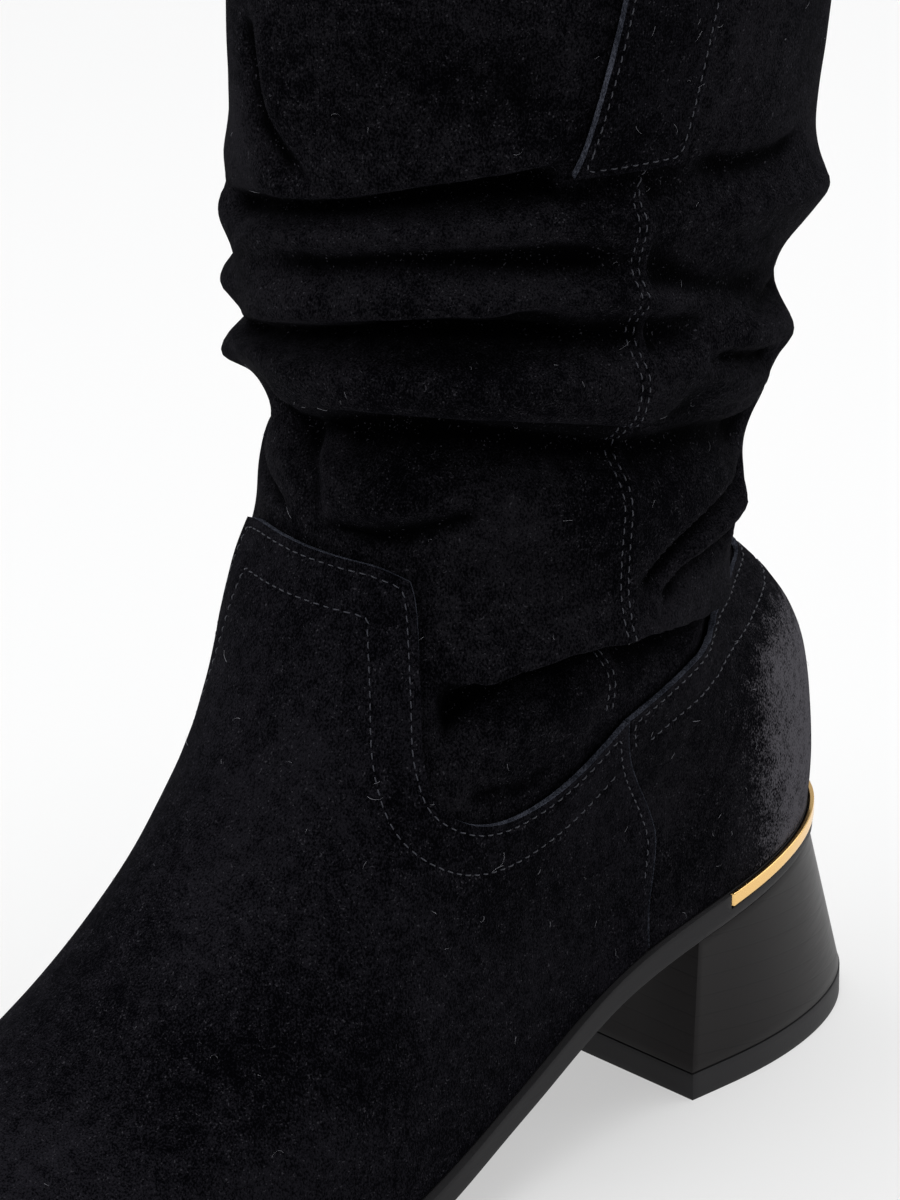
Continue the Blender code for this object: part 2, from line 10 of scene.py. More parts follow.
import bmesh
import bpy
import numpy as np
from bmesh.types import BMEdge, BMesh, BMFace, BMLayerItem, BMVert
from bpy.types import Material, Node, NodeSocket, Object
from mathutils import Matrix, Vector, noise
from mathutils.bvhtree import BVHTree
from numpy import ndarray


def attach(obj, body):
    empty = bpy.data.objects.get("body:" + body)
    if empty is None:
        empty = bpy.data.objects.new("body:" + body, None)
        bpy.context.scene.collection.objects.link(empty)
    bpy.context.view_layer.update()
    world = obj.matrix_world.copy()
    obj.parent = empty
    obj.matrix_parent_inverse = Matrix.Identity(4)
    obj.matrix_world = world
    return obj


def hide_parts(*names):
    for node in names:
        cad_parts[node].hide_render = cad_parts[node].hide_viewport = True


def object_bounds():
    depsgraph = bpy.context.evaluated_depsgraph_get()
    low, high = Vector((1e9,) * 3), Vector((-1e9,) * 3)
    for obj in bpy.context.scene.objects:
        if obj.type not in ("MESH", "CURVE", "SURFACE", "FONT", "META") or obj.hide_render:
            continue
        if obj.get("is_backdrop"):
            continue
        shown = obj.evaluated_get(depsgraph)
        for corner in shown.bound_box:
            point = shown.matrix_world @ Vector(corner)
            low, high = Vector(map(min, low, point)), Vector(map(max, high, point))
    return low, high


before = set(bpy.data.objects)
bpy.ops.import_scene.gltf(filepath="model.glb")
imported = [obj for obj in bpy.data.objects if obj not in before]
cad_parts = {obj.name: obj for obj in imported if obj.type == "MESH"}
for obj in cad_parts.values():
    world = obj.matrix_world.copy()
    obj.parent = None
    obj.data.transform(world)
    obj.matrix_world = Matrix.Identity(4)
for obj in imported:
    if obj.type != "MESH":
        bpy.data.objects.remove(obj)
CAD_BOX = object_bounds()

MM = 0.001
TINY = 1e-9
SEED = 11
# How finely the leg's ring, a curve's spans and a crease's line (in millimetres) are stepped
RING_STEPS, CURVE_STEPS, LINE_PACE = 720, 12, 1.5
# Points this near each other, in metres, are one; a ring this near a point goes through it
MERGE, CUT_REACH = 2e-6, 1e-7
# How much the stored fold, the measure of the suede's painted shade, takes from relief and from the way a
# point faces, and their limits
RELIEF_GAIN, FACING_GAIN = 2.3, 1.1
FACING_LIMITS = (-1.0, 0.35)
FOLD_SHADE_LIMITS = (-4.0, 2.5)
# Socket numbers of the colour Mix node
MIX_SHARE, MIX_FIRST, MIX_SECOND, MIX_RESULT = 0, 6, 7, 2
LOG = logging.getLogger("slouch_boot")


class Facing(Enum):
    """Which way a face of the upper's wall looks."""

    OUT = 0
    IN = 1


class WearAndSheen(Enum):
    """Which patch of a suede panel is painted lighter, as rubbed nap and as painted sheen of the light from
    behind the heel.
    """

    NONE = "none"
    HEEL_BACK = "heel back"


# ---- Shader building ----


@dataclass(frozen=True)
class Wire:
    """A node's output, which Python's operators carry on through Math nodes."""

    graph: "Graph"
    socket: NodeSocket

    def __add__(self, other: "Wire | float") -> "Wire":
        """Adds a value."""
        return self.graph.math("ADD", self, other)

    def __mul__(self, other: "Wire | float") -> "Wire":
        """Multiplies by a value."""
        return self.graph.math("MULTIPLY", self, other)

    def __sub__(self, other: "Wire | float") -> "Wire":
        """Takes a value away."""
        return self.graph.math("SUBTRACT", self, other)

    def __rsub__(self, other: float) -> "Wire":
        """Takes this away from a number."""
        return self.graph.math("SUBTRACT", other, self)

    __radd__ = __add__
    __rmul__ = __mul__


class Graph:
    """A material's nodes, read from Object coordinates."""

    def __init__(self, name: str) -> None:
        """Starts a material of that name with one Principled shader."""
        self.material = bpy.data.materials.new(name)
        self.material.use_nodes = True
        self.tree = self.material.node_tree
        self.shader = self.tree.nodes["Principled BSDF"]
        place = self.node("ShaderNodeTexCoord", {}, {})
        self.place = Wire(self, place.outputs["Object"])
        split = self.node("ShaderNodeSeparateXYZ", {}, {0: self.place})
        self.x, self.z = (Wire(self, split.outputs[axis]) for axis in "XZ")

    def node(self, kind: str, settings: dict, inputs: dict) -> Node:
        """Adds one node.

        Args:
            kind: The node's type.
            settings: Its own settings, set before its sockets.
            inputs: Values or wires by socket name or number.

        Returns:
            The new node.
        """
        made = self.tree.nodes.new(kind)
        for name, value in settings.items():
            setattr(made, name, value)
        for socket, value in inputs.items():
            self.feed(made.inputs[socket], value)
        return made

    def feed(self, socket: NodeSocket, value: "Wire | float | tuple") -> None:
        """Links a wire to a socket, or sets its value."""
        if isinstance(value, Wire):
            self.tree.links.new(value.socket, socket)
        else:
            socket.default_value = value

    def math(self, operation: str, first: "Wire | float", second: "Wire | float") -> Wire:
        """Adds a Math node."""
        made = self.node("ShaderNodeMath", {"operation": operation}, {0: first, 1: second})
        return Wire(self, made.outputs[0])

    def step(self, value: Wire, low: float, high: float) -> Wire:
        """A soft step from 0 at low to 1 at high."""
        made = self.node(
            "ShaderNodeMapRange",
            {"interpolation_type": "SMOOTHSTEP", "clamp": True},
            {"Value": value, "From Min": low, "From Max": high},
        )
        return Wire(self, made.outputs["Result"])

    def noise(
        self, size: float, detail: float = 2.0, rough: float = 0.5, stretch: tuple = (1.0, 1.0, 1.0)
    ) -> Wire:
        """Noise from 0 to 1.

        Args:
            size: Size of its grain in metres.
            detail: How many finer layers it has.
            rough: How strong they are.
            stretch: How much longer the grain is along each axis.

        Returns:
            The noise as a wire.
        """
        scale = tuple(1 / (size * share) for share in stretch)
        turned = self.node("ShaderNodeMapping", {}, {"Vector": self.place, "Scale": scale})
        inputs = {"Vector": Wire(self, turned.outputs[0]), "Scale": 1.0, "Detail": detail}
        return Wire(self, self.node("ShaderNodeTexNoise", {}, {**inputs, "Roughness": rough}).outputs[0])

    def mix(self, share: "Wire | float", first: "Wire | tuple", second: "Wire | tuple") -> Wire:
        """Mixes two colours."""
        inputs = {MIX_SHARE: share, MIX_FIRST: self.colour(first), MIX_SECOND: self.colour(second)}
        return Wire(self, self.node("ShaderNodeMix", {"data_type": "RGBA"}, inputs).outputs[MIX_RESULT])

    def stored(self, name: str) -> Wire:
        """A measure stored at the mesh's points."""
        return Wire(self, self.node("ShaderNodeAttribute", {"attribute_name": name}, {}).outputs["Fac"])

    @staticmethod
    def colour(value: "Wire | tuple") -> "Wire | tuple":
        """Gives a plain colour its alpha."""
        return value if isinstance(value, Wire) else (*value, 1.0)

    def bump(self, height: Wire, depth: float, strength: float = 1.0) -> None:
        """Bends the normal by a height that runs from 0 to 1 over a depth in metres."""
        made = self.node("ShaderNodeBump", {}, {"Strength": strength, "Distance": depth, "Height": height})
        self.put(Normal=Wire(self, made.outputs[0]))

    def put(self, **inputs: "Wire | float | tuple") -> None:
        """Sets the shader's sockets, an underscore standing for a space."""
        for name, value in inputs.items():
            self.feed(self.shader.inputs[name.replace("_", " ")], value)


def total(wires: tuple, shares: tuple, start: float = 0.0) -> Wire:
    """Adds up wires, each times its share, from a start."""
    return sum((wire * share for wire, share in zip(wires, shares)), start)


def scaled(colour: tuple, gain: float) -> tuple:
    """A colour made lighter or darker."""
    return tuple(share * gain for share in colour)


@dataclass(frozen=True)
class Suede:
    """Napped leather: cloudy, speckled and slightly blue in its sheen, with painted shade in its troughs and
    on faces that look down.
    """

    name: str
    deep: tuple = (0.0006, 0.0006, 0.0011)
    raised: tuple = (0.0100, 0.0095, 0.0116)
    shadow: tuple = (0.00025, 0.00025, 0.0004)
    fleck: tuple = (0.030, 0.029, 0.034)
    # Lighter colour at the heel's back: rubbed nap and painted sheen of the light from behind
    rubbed_and_sheen: tuple = (0.088, 0.084, 0.094)
    cloud_size: float = 0.030
    clump_size: float = 0.0030
    nap_size: float = 0.00036
    nap_depth: float = 0.0005
    fleck_size: float = 0.00045
    raised_range: tuple = (0.96, 1.50)
    fold_shade_range: tuple = (-2.9, 1.2)
    fleck_range: tuple = (0.70, 0.80)
    clump_range: tuple = (0.35, 0.65)
    roughness: float = 0.97
    specular: float = 0.012
    sheen: float = 0.008
    sheen_spread: float = 0.45
    sheen_tint: tuple = (0.72, 0.72, 0.94, 1.0)
    height_shares: tuple = (0.75, 0.50, 1.15)
    bump_shares: tuple = (0.7, 0.5)
    rub_and_sheen_shares: tuple = (1.15, 1.50, 0.90)
    rub_and_sheen_start: float = -1.85
    rub_and_sheen_most: float = 0.85
    wear_and_sheen: WearAndSheen = WearAndSheen.NONE

    def make(self) -> Material:
        """Builds the material."""
        graph = Graph(self.name)
        cloud = graph.noise(self.cloud_size, detail=3.0, rough=0.55)
        clump = graph.noise(self.clump_size, rough=0.6)
        nap = graph.noise(self.nap_size, detail=1.0, rough=0.6, stretch=(1.0, 1.0, 1.5))
        height = total((cloud, clump, nap), self.height_shares)
        colour = graph.mix(graph.step(height, *self.raised_range), self.deep, self.raised)
        # Painted shade: troughs and faces that look down are darkened towards the shadow colour
        colour = graph.mix(graph.step(graph.stored("fold"), *self.fold_shade_range), self.shadow, colour)
        flecks = graph.step(graph.noise(self.fleck_size, detail=0.0), *self.fleck_range)
        colour = graph.mix(flecks * graph.step(clump, *self.clump_range), colour, self.fleck)
        # Back of the heel painted lighter: rubbed nap and painted sheen of the light from behind
        if self.wear_and_sheen is WearAndSheen.HEEL_BACK:
            colour = graph.mix(self.rub_and_sheen(graph, nap, clump), colour, self.rubbed_and_sheen)
        graph.put(Base_Color=colour, Roughness=self.roughness, Specular_IOR_Level=self.specular)
        graph.put(Sheen_Weight=self.sheen, Sheen_Roughness=self.sheen_spread, Sheen_Tint=self.sheen_tint)
        graph.bump(total((nap, clump), self.bump_shares), self.nap_depth, strength=0.85)
        return graph.material

    def rub_and_sheen(self, graph: Graph, nap: Wire, clump: Wire) -> Wire:
        """The brushed nap at the back of the heel, thinning out into specks, together with the painted sheen
        of the light from behind it.
        """
        back = graph.step(graph.x, low=-0.034, high=0.004)
        back = back * (1 - graph.step(graph.z, low=0.080, high=0.104))
        spread = total((back, nap, clump), self.rub_and_sheen_shares, self.rub_and_sheen_start)
        return graph.step(spread, low=0.0, high=0.60) * self.rub_and_sheen_most


@dataclass(frozen=True)
class Plain:
    """An even finish with a little grain."""

    name: str
    colour: tuple
    roughness: float
    grain: float = 0.0008
    grain_depth: float = 0.00004
    gloss: float = 0.2
    patch_size: float = 0.012
    patch_gain: float = 1.35
    patch_roughness: float = 0.12

    def make(self) -> Material:
        """Builds the material."""
        graph = Graph(self.name)
        patch = graph.noise(self.patch_size)
        rough = patch * self.patch_roughness + (self.roughness - self.patch_roughness / 2)
        graph.put(Base_Color=graph.mix(patch, self.colour, scaled(self.colour, self.patch_gain)))
        graph.put(Roughness=rough, Specular_IOR_Level=self.gloss)
        graph.bump(graph.noise(self.grain, detail=3.0, rough=0.6), self.grain_depth, strength=0.6)
        return graph.material


@dataclass(frozen=True)
class Stack:
    """Satin heel block built of thin layers, with faint lines between them."""

    name: str
    colour: tuple = (0.0064, 0.0055, 0.0056)
    gloss: float = 0.12
    layer: float = 0.0042
    lean: float = 0.17
    line_width: float = 0.07
    line_share: float = 0.6
    rough_shares: tuple = (0.16, 0.10)
    rough_start: float = 0.24
    light_gain: float = 1.7
    dark_gain: float = 0.62
    depth: float = 0.00005

    def make(self) -> Material:
        """Builds the material."""
        graph = Graph(self.name)
        grain = graph.noise(0.0011, detail=3.0, rough=0.6, stretch=(9.0, 9.0, 0.5))
        patch = graph.noise(0.016)
        level = graph.math("PINGPONG", graph.z * (1 / self.layer) + graph.x * (self.lean / self.layer), 0.5)
        line = 1 - graph.step(level, low=0.0, high=self.line_width)
        cloudy = total((grain, patch), (0.5, 0.5))
        colour = graph.mix(cloudy, self.colour, scaled(self.colour, self.light_gain))
        colour = graph.mix(line * self.line_share, colour, scaled(self.colour, self.dark_gain))
        graph.put(Base_Color=colour, Specular_IOR_Level=self.gloss)
        graph.put(Roughness=total((grain, patch), self.rough_shares, self.rough_start))
        graph.bump(total((grain, line), (0.5, -0.5)), self.depth, strength=0.6)
        return graph.material


@dataclass(frozen=True)
class SoleRubber:
    """Matt sole with fine marks along its edge and ribs across its underside."""

    name: str
    colour: tuple = (0.0080, 0.0076, 0.0084)
    gloss: float = 0.17
    patch_gain: float = 1.7
    nick_gain: float = 3.0
    nick_share: float = 0.5
    rough_shares: tuple = (0.15,)
    rough_start: float = 0.46
    bump_shares: tuple = (0.10, 1.0)
    rib: float = 0.004
    rib_range: tuple = (0.10, 0.22)
    under_range: tuple = (0.7, 0.9)
    depth: float = 0.0006

    def make(self) -> Material:
        """Builds the material."""
        graph = Graph(self.name)
        grain = graph.noise(0.0009, detail=3.0, rough=0.65, stretch=(4.0, 4.0, 0.6))
        patch = graph.noise(0.010, detail=3.0, rough=0.6)
        nick = graph.step(graph.noise(0.0022, rough=0.6), low=0.70, high=0.78)
        under = graph.step(graph.stored("under"), *self.under_range)
        ribs = graph.step(graph.math("PINGPONG", graph.x * (1 / self.rib), 0.5), *self.rib_range)
        colour = graph.mix(patch, self.colour, scaled(self.colour, self.patch_gain))
        colour = graph.mix(nick * self.nick_share, colour, scaled(self.colour, self.nick_gain))
        rough = total((patch,), self.rough_shares, self.rough_start)
        graph.put(Base_Color=colour, Roughness=rough, Specular_IOR_Level=self.gloss)
        graph.bump(total((grain, ribs * under), self.bump_shares), self.depth, strength=0.7)
        return graph.material


@dataclass(frozen=True)
class Metal:
    """Polished warm strip."""

    name: str
    colour: tuple = (0.93, 0.60, 0.23, 1.0)
    rough_shares: tuple = (0.10,)
    rough_start: float = 0.16

    def make(self) -> Material:
        """Builds the material."""
        graph = Graph(self.name)
        streak = graph.noise(0.0005, stretch=(8.0, 8.0, 1.0))
        rough = total((streak,), self.rough_shares, self.rough_start)
        graph.put(Base_Color=self.colour, Metallic=1.0, Roughness=rough)
        return graph.material


def made(finish: "Suede | Plain | Stack | SoleRubber | Metal") -> Material:
    """A field that holds the finish's material."""
    return field(default_factory=finish.make)


@dataclass
class Finishes:
    """Every finish of the boot, made once."""

    upper: Material = made(Suede("upper_suede"))
    vamp: Material = made(Suede("vamp_suede", cloud_size=0.036, raised=(0.0100, 0.0095, 0.0122)))
    counter: Material = made(Suede("counter_suede", cloud_size=0.026, wear_and_sheen=WearAndSheen.HEEL_BACK))
    strap: Material = made(Suede("strap_suede", raised=(0.0086, 0.0082, 0.0104)))
    cut: Material = made(
        Suede("cut_edge", deep=(0.018, 0.020, 0.027), raised=(0.080, 0.086, 0.110), cloud_size=0.012)
    )
    lining: Material = made(
        Plain("lining", (0.020, 0.018, 0.017), 0.85, grain=0.0012, grain_depth=0.00012)
    )
    thread: Material = made(
        Plain("thread", (0.021, 0.022, 0.030), 0.50, grain=0.0005, grain_depth=0.00003, gloss=0.4)
    )
    lint: Material = made(Plain("lint", (0.20, 0.20, 0.22), 0.8, grain=0.001, grain_depth=0.00001))
    stack: Material = made(Stack("heel_stack"))
    sole: Material = made(SoleRubber("sole_rubber"))
    lift: Material = made(
        Plain("lift_rubber", (0.0125, 0.0120, 0.0130), 0.55, grain=0.0007, grain_depth=0.00006)
    )
    metal: Material = made(Metal("trim_metal"))
    board: Material = made(
        Plain("insole_board", (0.030, 0.026, 0.022), 0.8, grain=0.0012, grain_depth=0.00008)
    )


# ---- The leg's own measure ----


def unit(ways: ndarray) -> ndarray:
    """Directions brought to length 1."""
    return ways / np.maximum(np.linalg.norm(ways, axis=-1, keepdims=True), TINY)


def ease(share: ndarray) -> ndarray:
    """Keeps shares between 0 and 1 and rounds their ends."""
    share = np.clip(share, 0, 1)
    return share * share * (3 - 2 * share)


@dataclass(frozen=True)
class Leg:
    """Measures the shaft by degrees round it, 0 the back, 90 outside and 180 the front, and height."""

    middle: float = -0.050
    long_half: float = 0.062
    side_half: float = 0.043

    def angle(self, points: ndarray) -> ndarray:
        """Degrees round the leg of points in metres."""
        turn = np.arctan2(-points[:, 1] / self.side_half, (points[:, 0] - self.middle) / self.long_half)
        return np.degrees(turn) % 360

    def unroll(self, degrees: ndarray, height: ndarray) -> ndarray:
        """Lays the leg's face out flat, in millimetres round and up."""
        ring = np.radians(np.linspace(0, 360, RING_STEPS + 1))
        pace = np.hypot(self.long_half * np.sin(ring), self.side_half * np.cos(ring)) / MM
        run = np.concatenate([[0.0], np.cumsum((pace[1:] + pace[:-1]) / 2 * np.diff(ring))])
        return np.stack([np.interp(degrees, np.degrees(ring), run), height], axis=-1)

    def girth(self) -> float:
        """Millimetres once round."""
        return float(self.unroll(np.array([360.0]), np.array([0.0]))[0, 0])

    def outward(self, points: ndarray) -> ndarray:
        """Level directions away from the leg's middle line."""
        ahead = (points[:, 0] - self.middle) / self.long_half**2
        out = np.stack([ahead, points[:, 1] / self.side_half**2, np.zeros(len(points))], axis=-1)
        return unit(out)

    def away(self, face: BMFace) -> float:
        """How far a face looks away from the leg's middle line, from -1 to 1."""
        return Vector(self.outward(np.array([face.calc_center_median()[:]]))[0]).dot(face.normal)


LEG = Leg()


def smooth_line(points: ndarray, spacing: float) -> ndarray:
    """Runs a soft curve through points and spaces it evenly.

    Args:
        points: The line's corners, in any unit and dimension.
        spacing: Distance between the points that come back.

    Returns:
        The curve's points.
    """
    ends = np.concatenate([2 * points[:1] - points[1:2], points, 2 * points[-1:] - points[-2:-1]])
    share = np.linspace(0, 1, CURVE_STEPS, endpoint=False)[:, None]
    pieces = []
    for before, start, end, after in zip(ends, ends[1:], ends[2:], ends[3:]):
        pieces.append(
            start
            + 0.5 * share * (end - before)
            + share**2 * (before - 2.5 * start + 2 * end - 0.5 * after)
            + share**3 * (1.5 * (start - end) + 0.5 * (after - before))
        )
    dense = np.concatenate([*pieces, points[-1:]])
    return even_line(dense, spacing)


def even_line(points: ndarray, spacing: float) -> ndarray:
    """Spaces a line's points evenly."""
    run = np.concatenate([[0.0], np.cumsum(np.linalg.norm(np.diff(points, axis=0), axis=1))])
    places = np.linspace(0, run[-1], max(2, round(run[-1] / spacing) + 1))
    return np.stack([np.interp(places, run, points[:, axis]) for axis in range(points.shape[1])], axis=-1)


@dataclass(frozen=True)
class Crease:
    """A trough or a ridge of the shaft, drawn as a line of degrees round the leg and millimetres up."""

    what: str
    out: float
    above: float
    below: float
    line: tuple
    droop: float = 0.0
    fade: float = 14.0

    def press(self, flat: ndarray) -> ndarray:
        """How strongly the crease acts.

        Args:
            flat: Points of the unrolled leg.

        Returns:
            Its strength at each of them, from 0 to 1.
        """
        corners = np.array(self.line, float)
        drawn = smooth_line(LEG.unroll(corners[:, 0], corners[:, 1]), LINE_PACE)
        run = np.linspace(0, np.linalg.norm(np.diff(drawn, axis=0), axis=1).sum(), len(drawn))
        weight = ease(np.minimum(run, run[-1] - run) / self.fade)
        reach = 3 * max(self.above, self.below)
        low = drawn.min(axis=0) - reach
        high = drawn.max(axis=0) + reach
        result = np.zeros(len(flat))
        for shift in (-LEG.girth(), 0.0, LEG.girth()):
            moved = flat + np.array([shift, 0.0])
            near = np.flatnonzero(((moved > low) & (moved < high)).all(axis=1))
            if not len(near):
                continue
            gap = moved[near][:, None, :] - drawn[None, :, :]
            nearest = (gap**2).sum(axis=2).argmin(axis=1)
            offset = gap[np.arange(len(near)), nearest]
            width = np.where(offset[:, 1] > 0, self.above, self.below)
            strength = np.exp(-(offset**2).sum(axis=1) / width**2) * weight[nearest]
            result[near] = np.maximum(result[near], strength)
        return result


# ---- The creases ----


# Name, millimetres outwards, widths above and below the line, and the line's (degrees, height) corners
CREASES = (
    # Lower edge of the smooth shaft and the top roll
    Crease("valley above the top roll", -4.2, 1.9, 4.2, line=(
        (212, 194), (194, 197), (180, 199), (164, 201), (150, 203), (134, 204.5), (119, 205.5),
        (104, 205.5))),
    Crease("lip over that valley", 1.6, 5.0, 2.2, droop=-1.0, line=(
        (196, 203), (180, 204), (160, 206.5), (145, 209), (130, 210.5), (112, 211.5))),
    Crease("pinch at the shaft's front", -2.0, 2.4, 2.4, fade=8.0, line=(
        (190, 236), (189, 226), (187, 219), (183, 213), (176, 209), (167, 206))),
    Crease("fold beside the pinch", 1.1, 3.5, 3.5, fade=10.0, line=(
        (184, 240), (182, 228), (179, 219), (172, 213))),
    Crease("top roll, upper face", 1.0, 2.6, 3.6, line=(
        (205, 191), (184, 194), (166, 196.5), (149, 199), (129, 199.5), (109, 197.5), (95, 194.5))),
    Crease("soft trough under the top roll", -1.7, 3.4, 4.8, fade=18.0, line=(
        (192, 186), (178, 189.5), (164, 190.5), (149, 192.5), (129, 192), (112, 190), (100, 186))),
    Crease("deep trough, outer rear", -2.0, 3.4, 3.8, fade=18.0, line=(
        (108, 187), (99, 184), (92, 180), (81, 175.5), (66, 171.5), (54, 170))),
    Crease("rear roll, upper face", 1.0, 3.0, 3.0, line=(
        (92, 193), (78, 190), (60, 187), (44, 184), (30, 183))),
    Crease("crossing roll", 1.6, 2.4, 3.0, droop=-0.5, fade=20.0, line=(
        (150, 185.5), (138, 186.5), (124, 186), (112, 184), (102, 181.5), (93, 177.5), (85, 173),
        (70, 167), (58, 163))),
    Crease("rear pinch under the strap", -1.3, 2.0, 2.6, fade=8.0, line=(
        (88, 203), (76, 199), (62, 197), (50, 198))),
    # Middle roll and the dark valley
    Crease("middle roll", 1.0, 3.6, 3.0, line=(
        (205, 180), (190, 181), (160, 186), (142, 187), (125, 186))),
    Crease("dark valley above the main roll", -4.6, 1.7, 2.0, line=(
        (222, 164), (206, 168), (192, 171), (176, 173.8), (159, 175.8), (145, 176.2), (133, 176),
        (121, 175), (111, 174))),
    Crease("wide end of that valley", -3.0, 2.8, 2.6, line=(
        (168, 177.5), (152, 179), (137, 179.5), (124, 179), (112, 177))),
    Crease("middle roll's lower lip", 1.3, 2.2, 1.8, droop=-0.8, line=(
        (204, 174), (186, 177.5), (168, 181), (150, 183), (134, 184), (118, 182.5))),
    # Main roll, hanging over
    Crease("main roll's lip", 2.4, 1.4, 2.8, line=(
        (194, 166.5), (178, 169), (162, 171.2), (147, 171.4), (133, 170.4), (120, 169), (107, 167.8))),
    Crease("main roll's belly", 1.1, 4.0, 4.0, droop=-2.6, line=(
        (200, 159), (184, 162.5), (163, 166), (147, 166.5), (130, 165), (115, 162), (99, 158),
        (86, 155))),
    Crease("hollow under the main roll", -3.6, 2.2, 5.4, line=(
        (204, 149), (187, 152), (163, 156), (147, 156.5), (130, 154.5), (113, 151), (96, 147),
        (80, 145), (62, 141), (45, 140))),
    Crease("shadow patch under the roll's front", -1.3, 2.4, 3.2, fade=8.0, line=(
        (176, 150), (163, 152), (150, 154), (137, 155))),
    # Rear of the seam
    Crease("crease between the rear rolls", -3.0, 1.7, 1.9, line=(
        (90, 163), (82, 162), (74, 159.5), (64, 156.5), (50, 155))),
    Crease("upper rear roll", 0.8, 3.0, 2.4, line=(
        (90, 170), (74, 167), (56, 162), (44, 160))),
    Crease("lower rear roll", 0.8, 2.4, 3.0, droop=-1.2, line=(
        (88, 156), (74, 153), (60, 151), (46, 150))),
    Crease("valley over the upper rear roll", -1.6, 2.0, 2.0, fade=10.0, line=(
        (96, 176), (84, 171.5), (70, 167.5), (54, 166), (42, 166))),
    # Ankle
    Crease("front pinch of the ankle", -1.6, 3.4, 3.0, fade=8.0, line=(
        (206, 156), (196, 152), (186, 147.5), (180, 143), (180, 139), (186, 135))),
    Crease("fold beside the front pinch", 0.9, 3.4, 3.4, fade=8.0, line=(
        (188, 154), (178, 149), (172, 143), (172, 138))),
    Crease("crease over the vamp", -1.9, 3.2, 2.6, fade=11.0, line=(
        (184, 133), (172, 133.5), (159, 134.5), (149, 136.5), (140, 138.5), (132, 141), (126, 144))),
    Crease("puff over the vamp's crease", 1.3, 5.0, 3.0, droop=-0.9, fade=12.0, line=(
        (176, 141), (162, 142.5), (148, 144), (136, 146))),
    Crease("small dimple", -0.9, 1.6, 1.8, fade=4.0, line=(
        (150, 144), (144, 146), (138, 148))),
    Crease("shallow dent in front of the seam", -0.8, 3.4, 3.4, fade=8.0, line=(
        (120, 146), (112, 141), (108, 134))),
    Crease("slanting fold above the counter", -4.6, 2.4, 4.2, fade=9.0, line=(
        (147, 93), (144.5, 99), (140, 103), (133, 106), (124, 108), (114, 109), (104, 108), (96, 106),
        (81, 103.5), (62, 101.5), (44, 100))),
    Crease("lip over the slanting fold", 2.3, 4.4, 2.4, droop=-2.0, fade=10.0, line=(
        (140, 109), (130, 112.5), (120, 114.5), (110, 115), (99, 113.5), (84, 110.5), (66, 108),
        (46, 106))),
    Crease("puff inside the throat's curve", 1.1, 5.5, 6.0, fade=9.0, line=(
        (136, 96), (126, 98), (114, 99), (104, 98))),
    Crease("shadow over the throat's curve", -1.1, 2.6, 2.6, fade=7.0, line=(
        (138, 88), (130, 85.5), (123, 85), (114, 87))),
    Crease("upper slanting crease, outer rear", -2.6, 1.7, 2.2, fade=8.0, line=(
        (100, 118), (95, 121), (86, 125.5), (75, 128), (61, 128.5), (48, 131))),
    Crease("lower slanting crease, outer rear", -1.8, 1.8, 2.0, fade=8.0, line=(
        (96, 113.5), (90, 116.5), (81, 119), (64, 118.5), (50, 116))),
    Crease("puff between the rear creases", 1.0, 2.6, 2.6, fade=9.0, line=(
        (88, 121.5), (78, 123.5), (62, 123.5), (48, 124))),
    Crease("broad dent of the shaft", -0.9, 11.0, 11.0, line=(
        (168, 233), (149, 230), (129, 225), (112, 229))),
    # Inner side and back, in the same manner
    Crease("inner valley above the top roll", -2.8, 2.6, 2.4, line=(
        (206, 197), (226, 195), (250, 192), (276, 190), (305, 188), (330, 187))),
    Crease("inner lip of the top roll", 1.0, 3.0, 3.2, line=(
        (214, 189), (240, 187), (268, 184.5), (296, 183), (322, 182))),
    Crease("inner front roll", 1.7, 3.0, 3.2, fade=10.0, line=(
        (198, 177), (212, 176), (228, 175), (248, 177))),
    Crease("inner front trough", -1.3, 2.4, 2.4, fade=10.0, line=(
        (206, 184), (220, 182.5), (236, 181.5), (254, 181))),
    Crease("inner dark valley", -3.4, 2.2, 2.2, line=(
        (214, 167), (232, 166), (254, 168), (276, 170.5), (300, 172), (326, 171))),
    Crease("inner branch of the valley", -2.0, 1.9, 2.1, fade=9.0, line=(
        (262, 170), (276, 176), (292, 179), (310, 179))),
    Crease("inner main roll", 1.2, 3.4, 3.4, droop=-1.8, line=(
        (212, 160), (236, 159), (262, 160), (286, 161), (312, 162))),
    Crease("inner hollow under the main roll", -2.6, 2.6, 4.6, line=(
        (204, 150), (226, 148), (252, 147.5), (280, 148), (308, 149), (334, 148))),
    Crease("inner slanting fold", -3.2, 2.6, 3.2, fade=11.0, line=(
        (213, 94), (216, 101), (222, 106), (232, 109.5), (244, 110.5), (258, 108.5), (276, 105.5),
        (298, 102.5), (316, 101))),
    Crease("inner lip over the slanting fold", 1.6, 4.0, 2.8, droop=-1.3, fade=10.0, line=(
        (224, 112), (236, 115), (250, 115.5), (266, 112.5), (284, 110))),
    Crease("inner slanting crease", -2.2, 1.9, 2.2, fade=9.0, line=(
        (258, 118), (268, 123), (280, 127), (296, 128), (312, 127))),
    Crease("inner crease over the vamp", -2.0, 2.4, 2.2, fade=9.0, line=(
        (188, 134), (202, 136), (216, 139), (228, 143))),
    Crease("back trough, upper", -1.4, 2.6, 2.8, fade=10.0, line=(
        (318, 180), (334, 177), (350, 176))),
    Crease("back trough, middle", -1.6, 2.0, 2.4, fade=10.0, line=(
        (4, 157), (18, 155), (32, 154), (46, 155))),
    Crease("back dent above the counter", -1.8, 2.4, 3.0, fade=10.0, line=(
        (6, 118), (18, 117), (32, 116), (46, 116))),
    Crease("back dent, inner side", -1.6, 2.4, 3.0, fade=10.0, line=(
        (318, 118), (332, 117), (346, 118))),
)

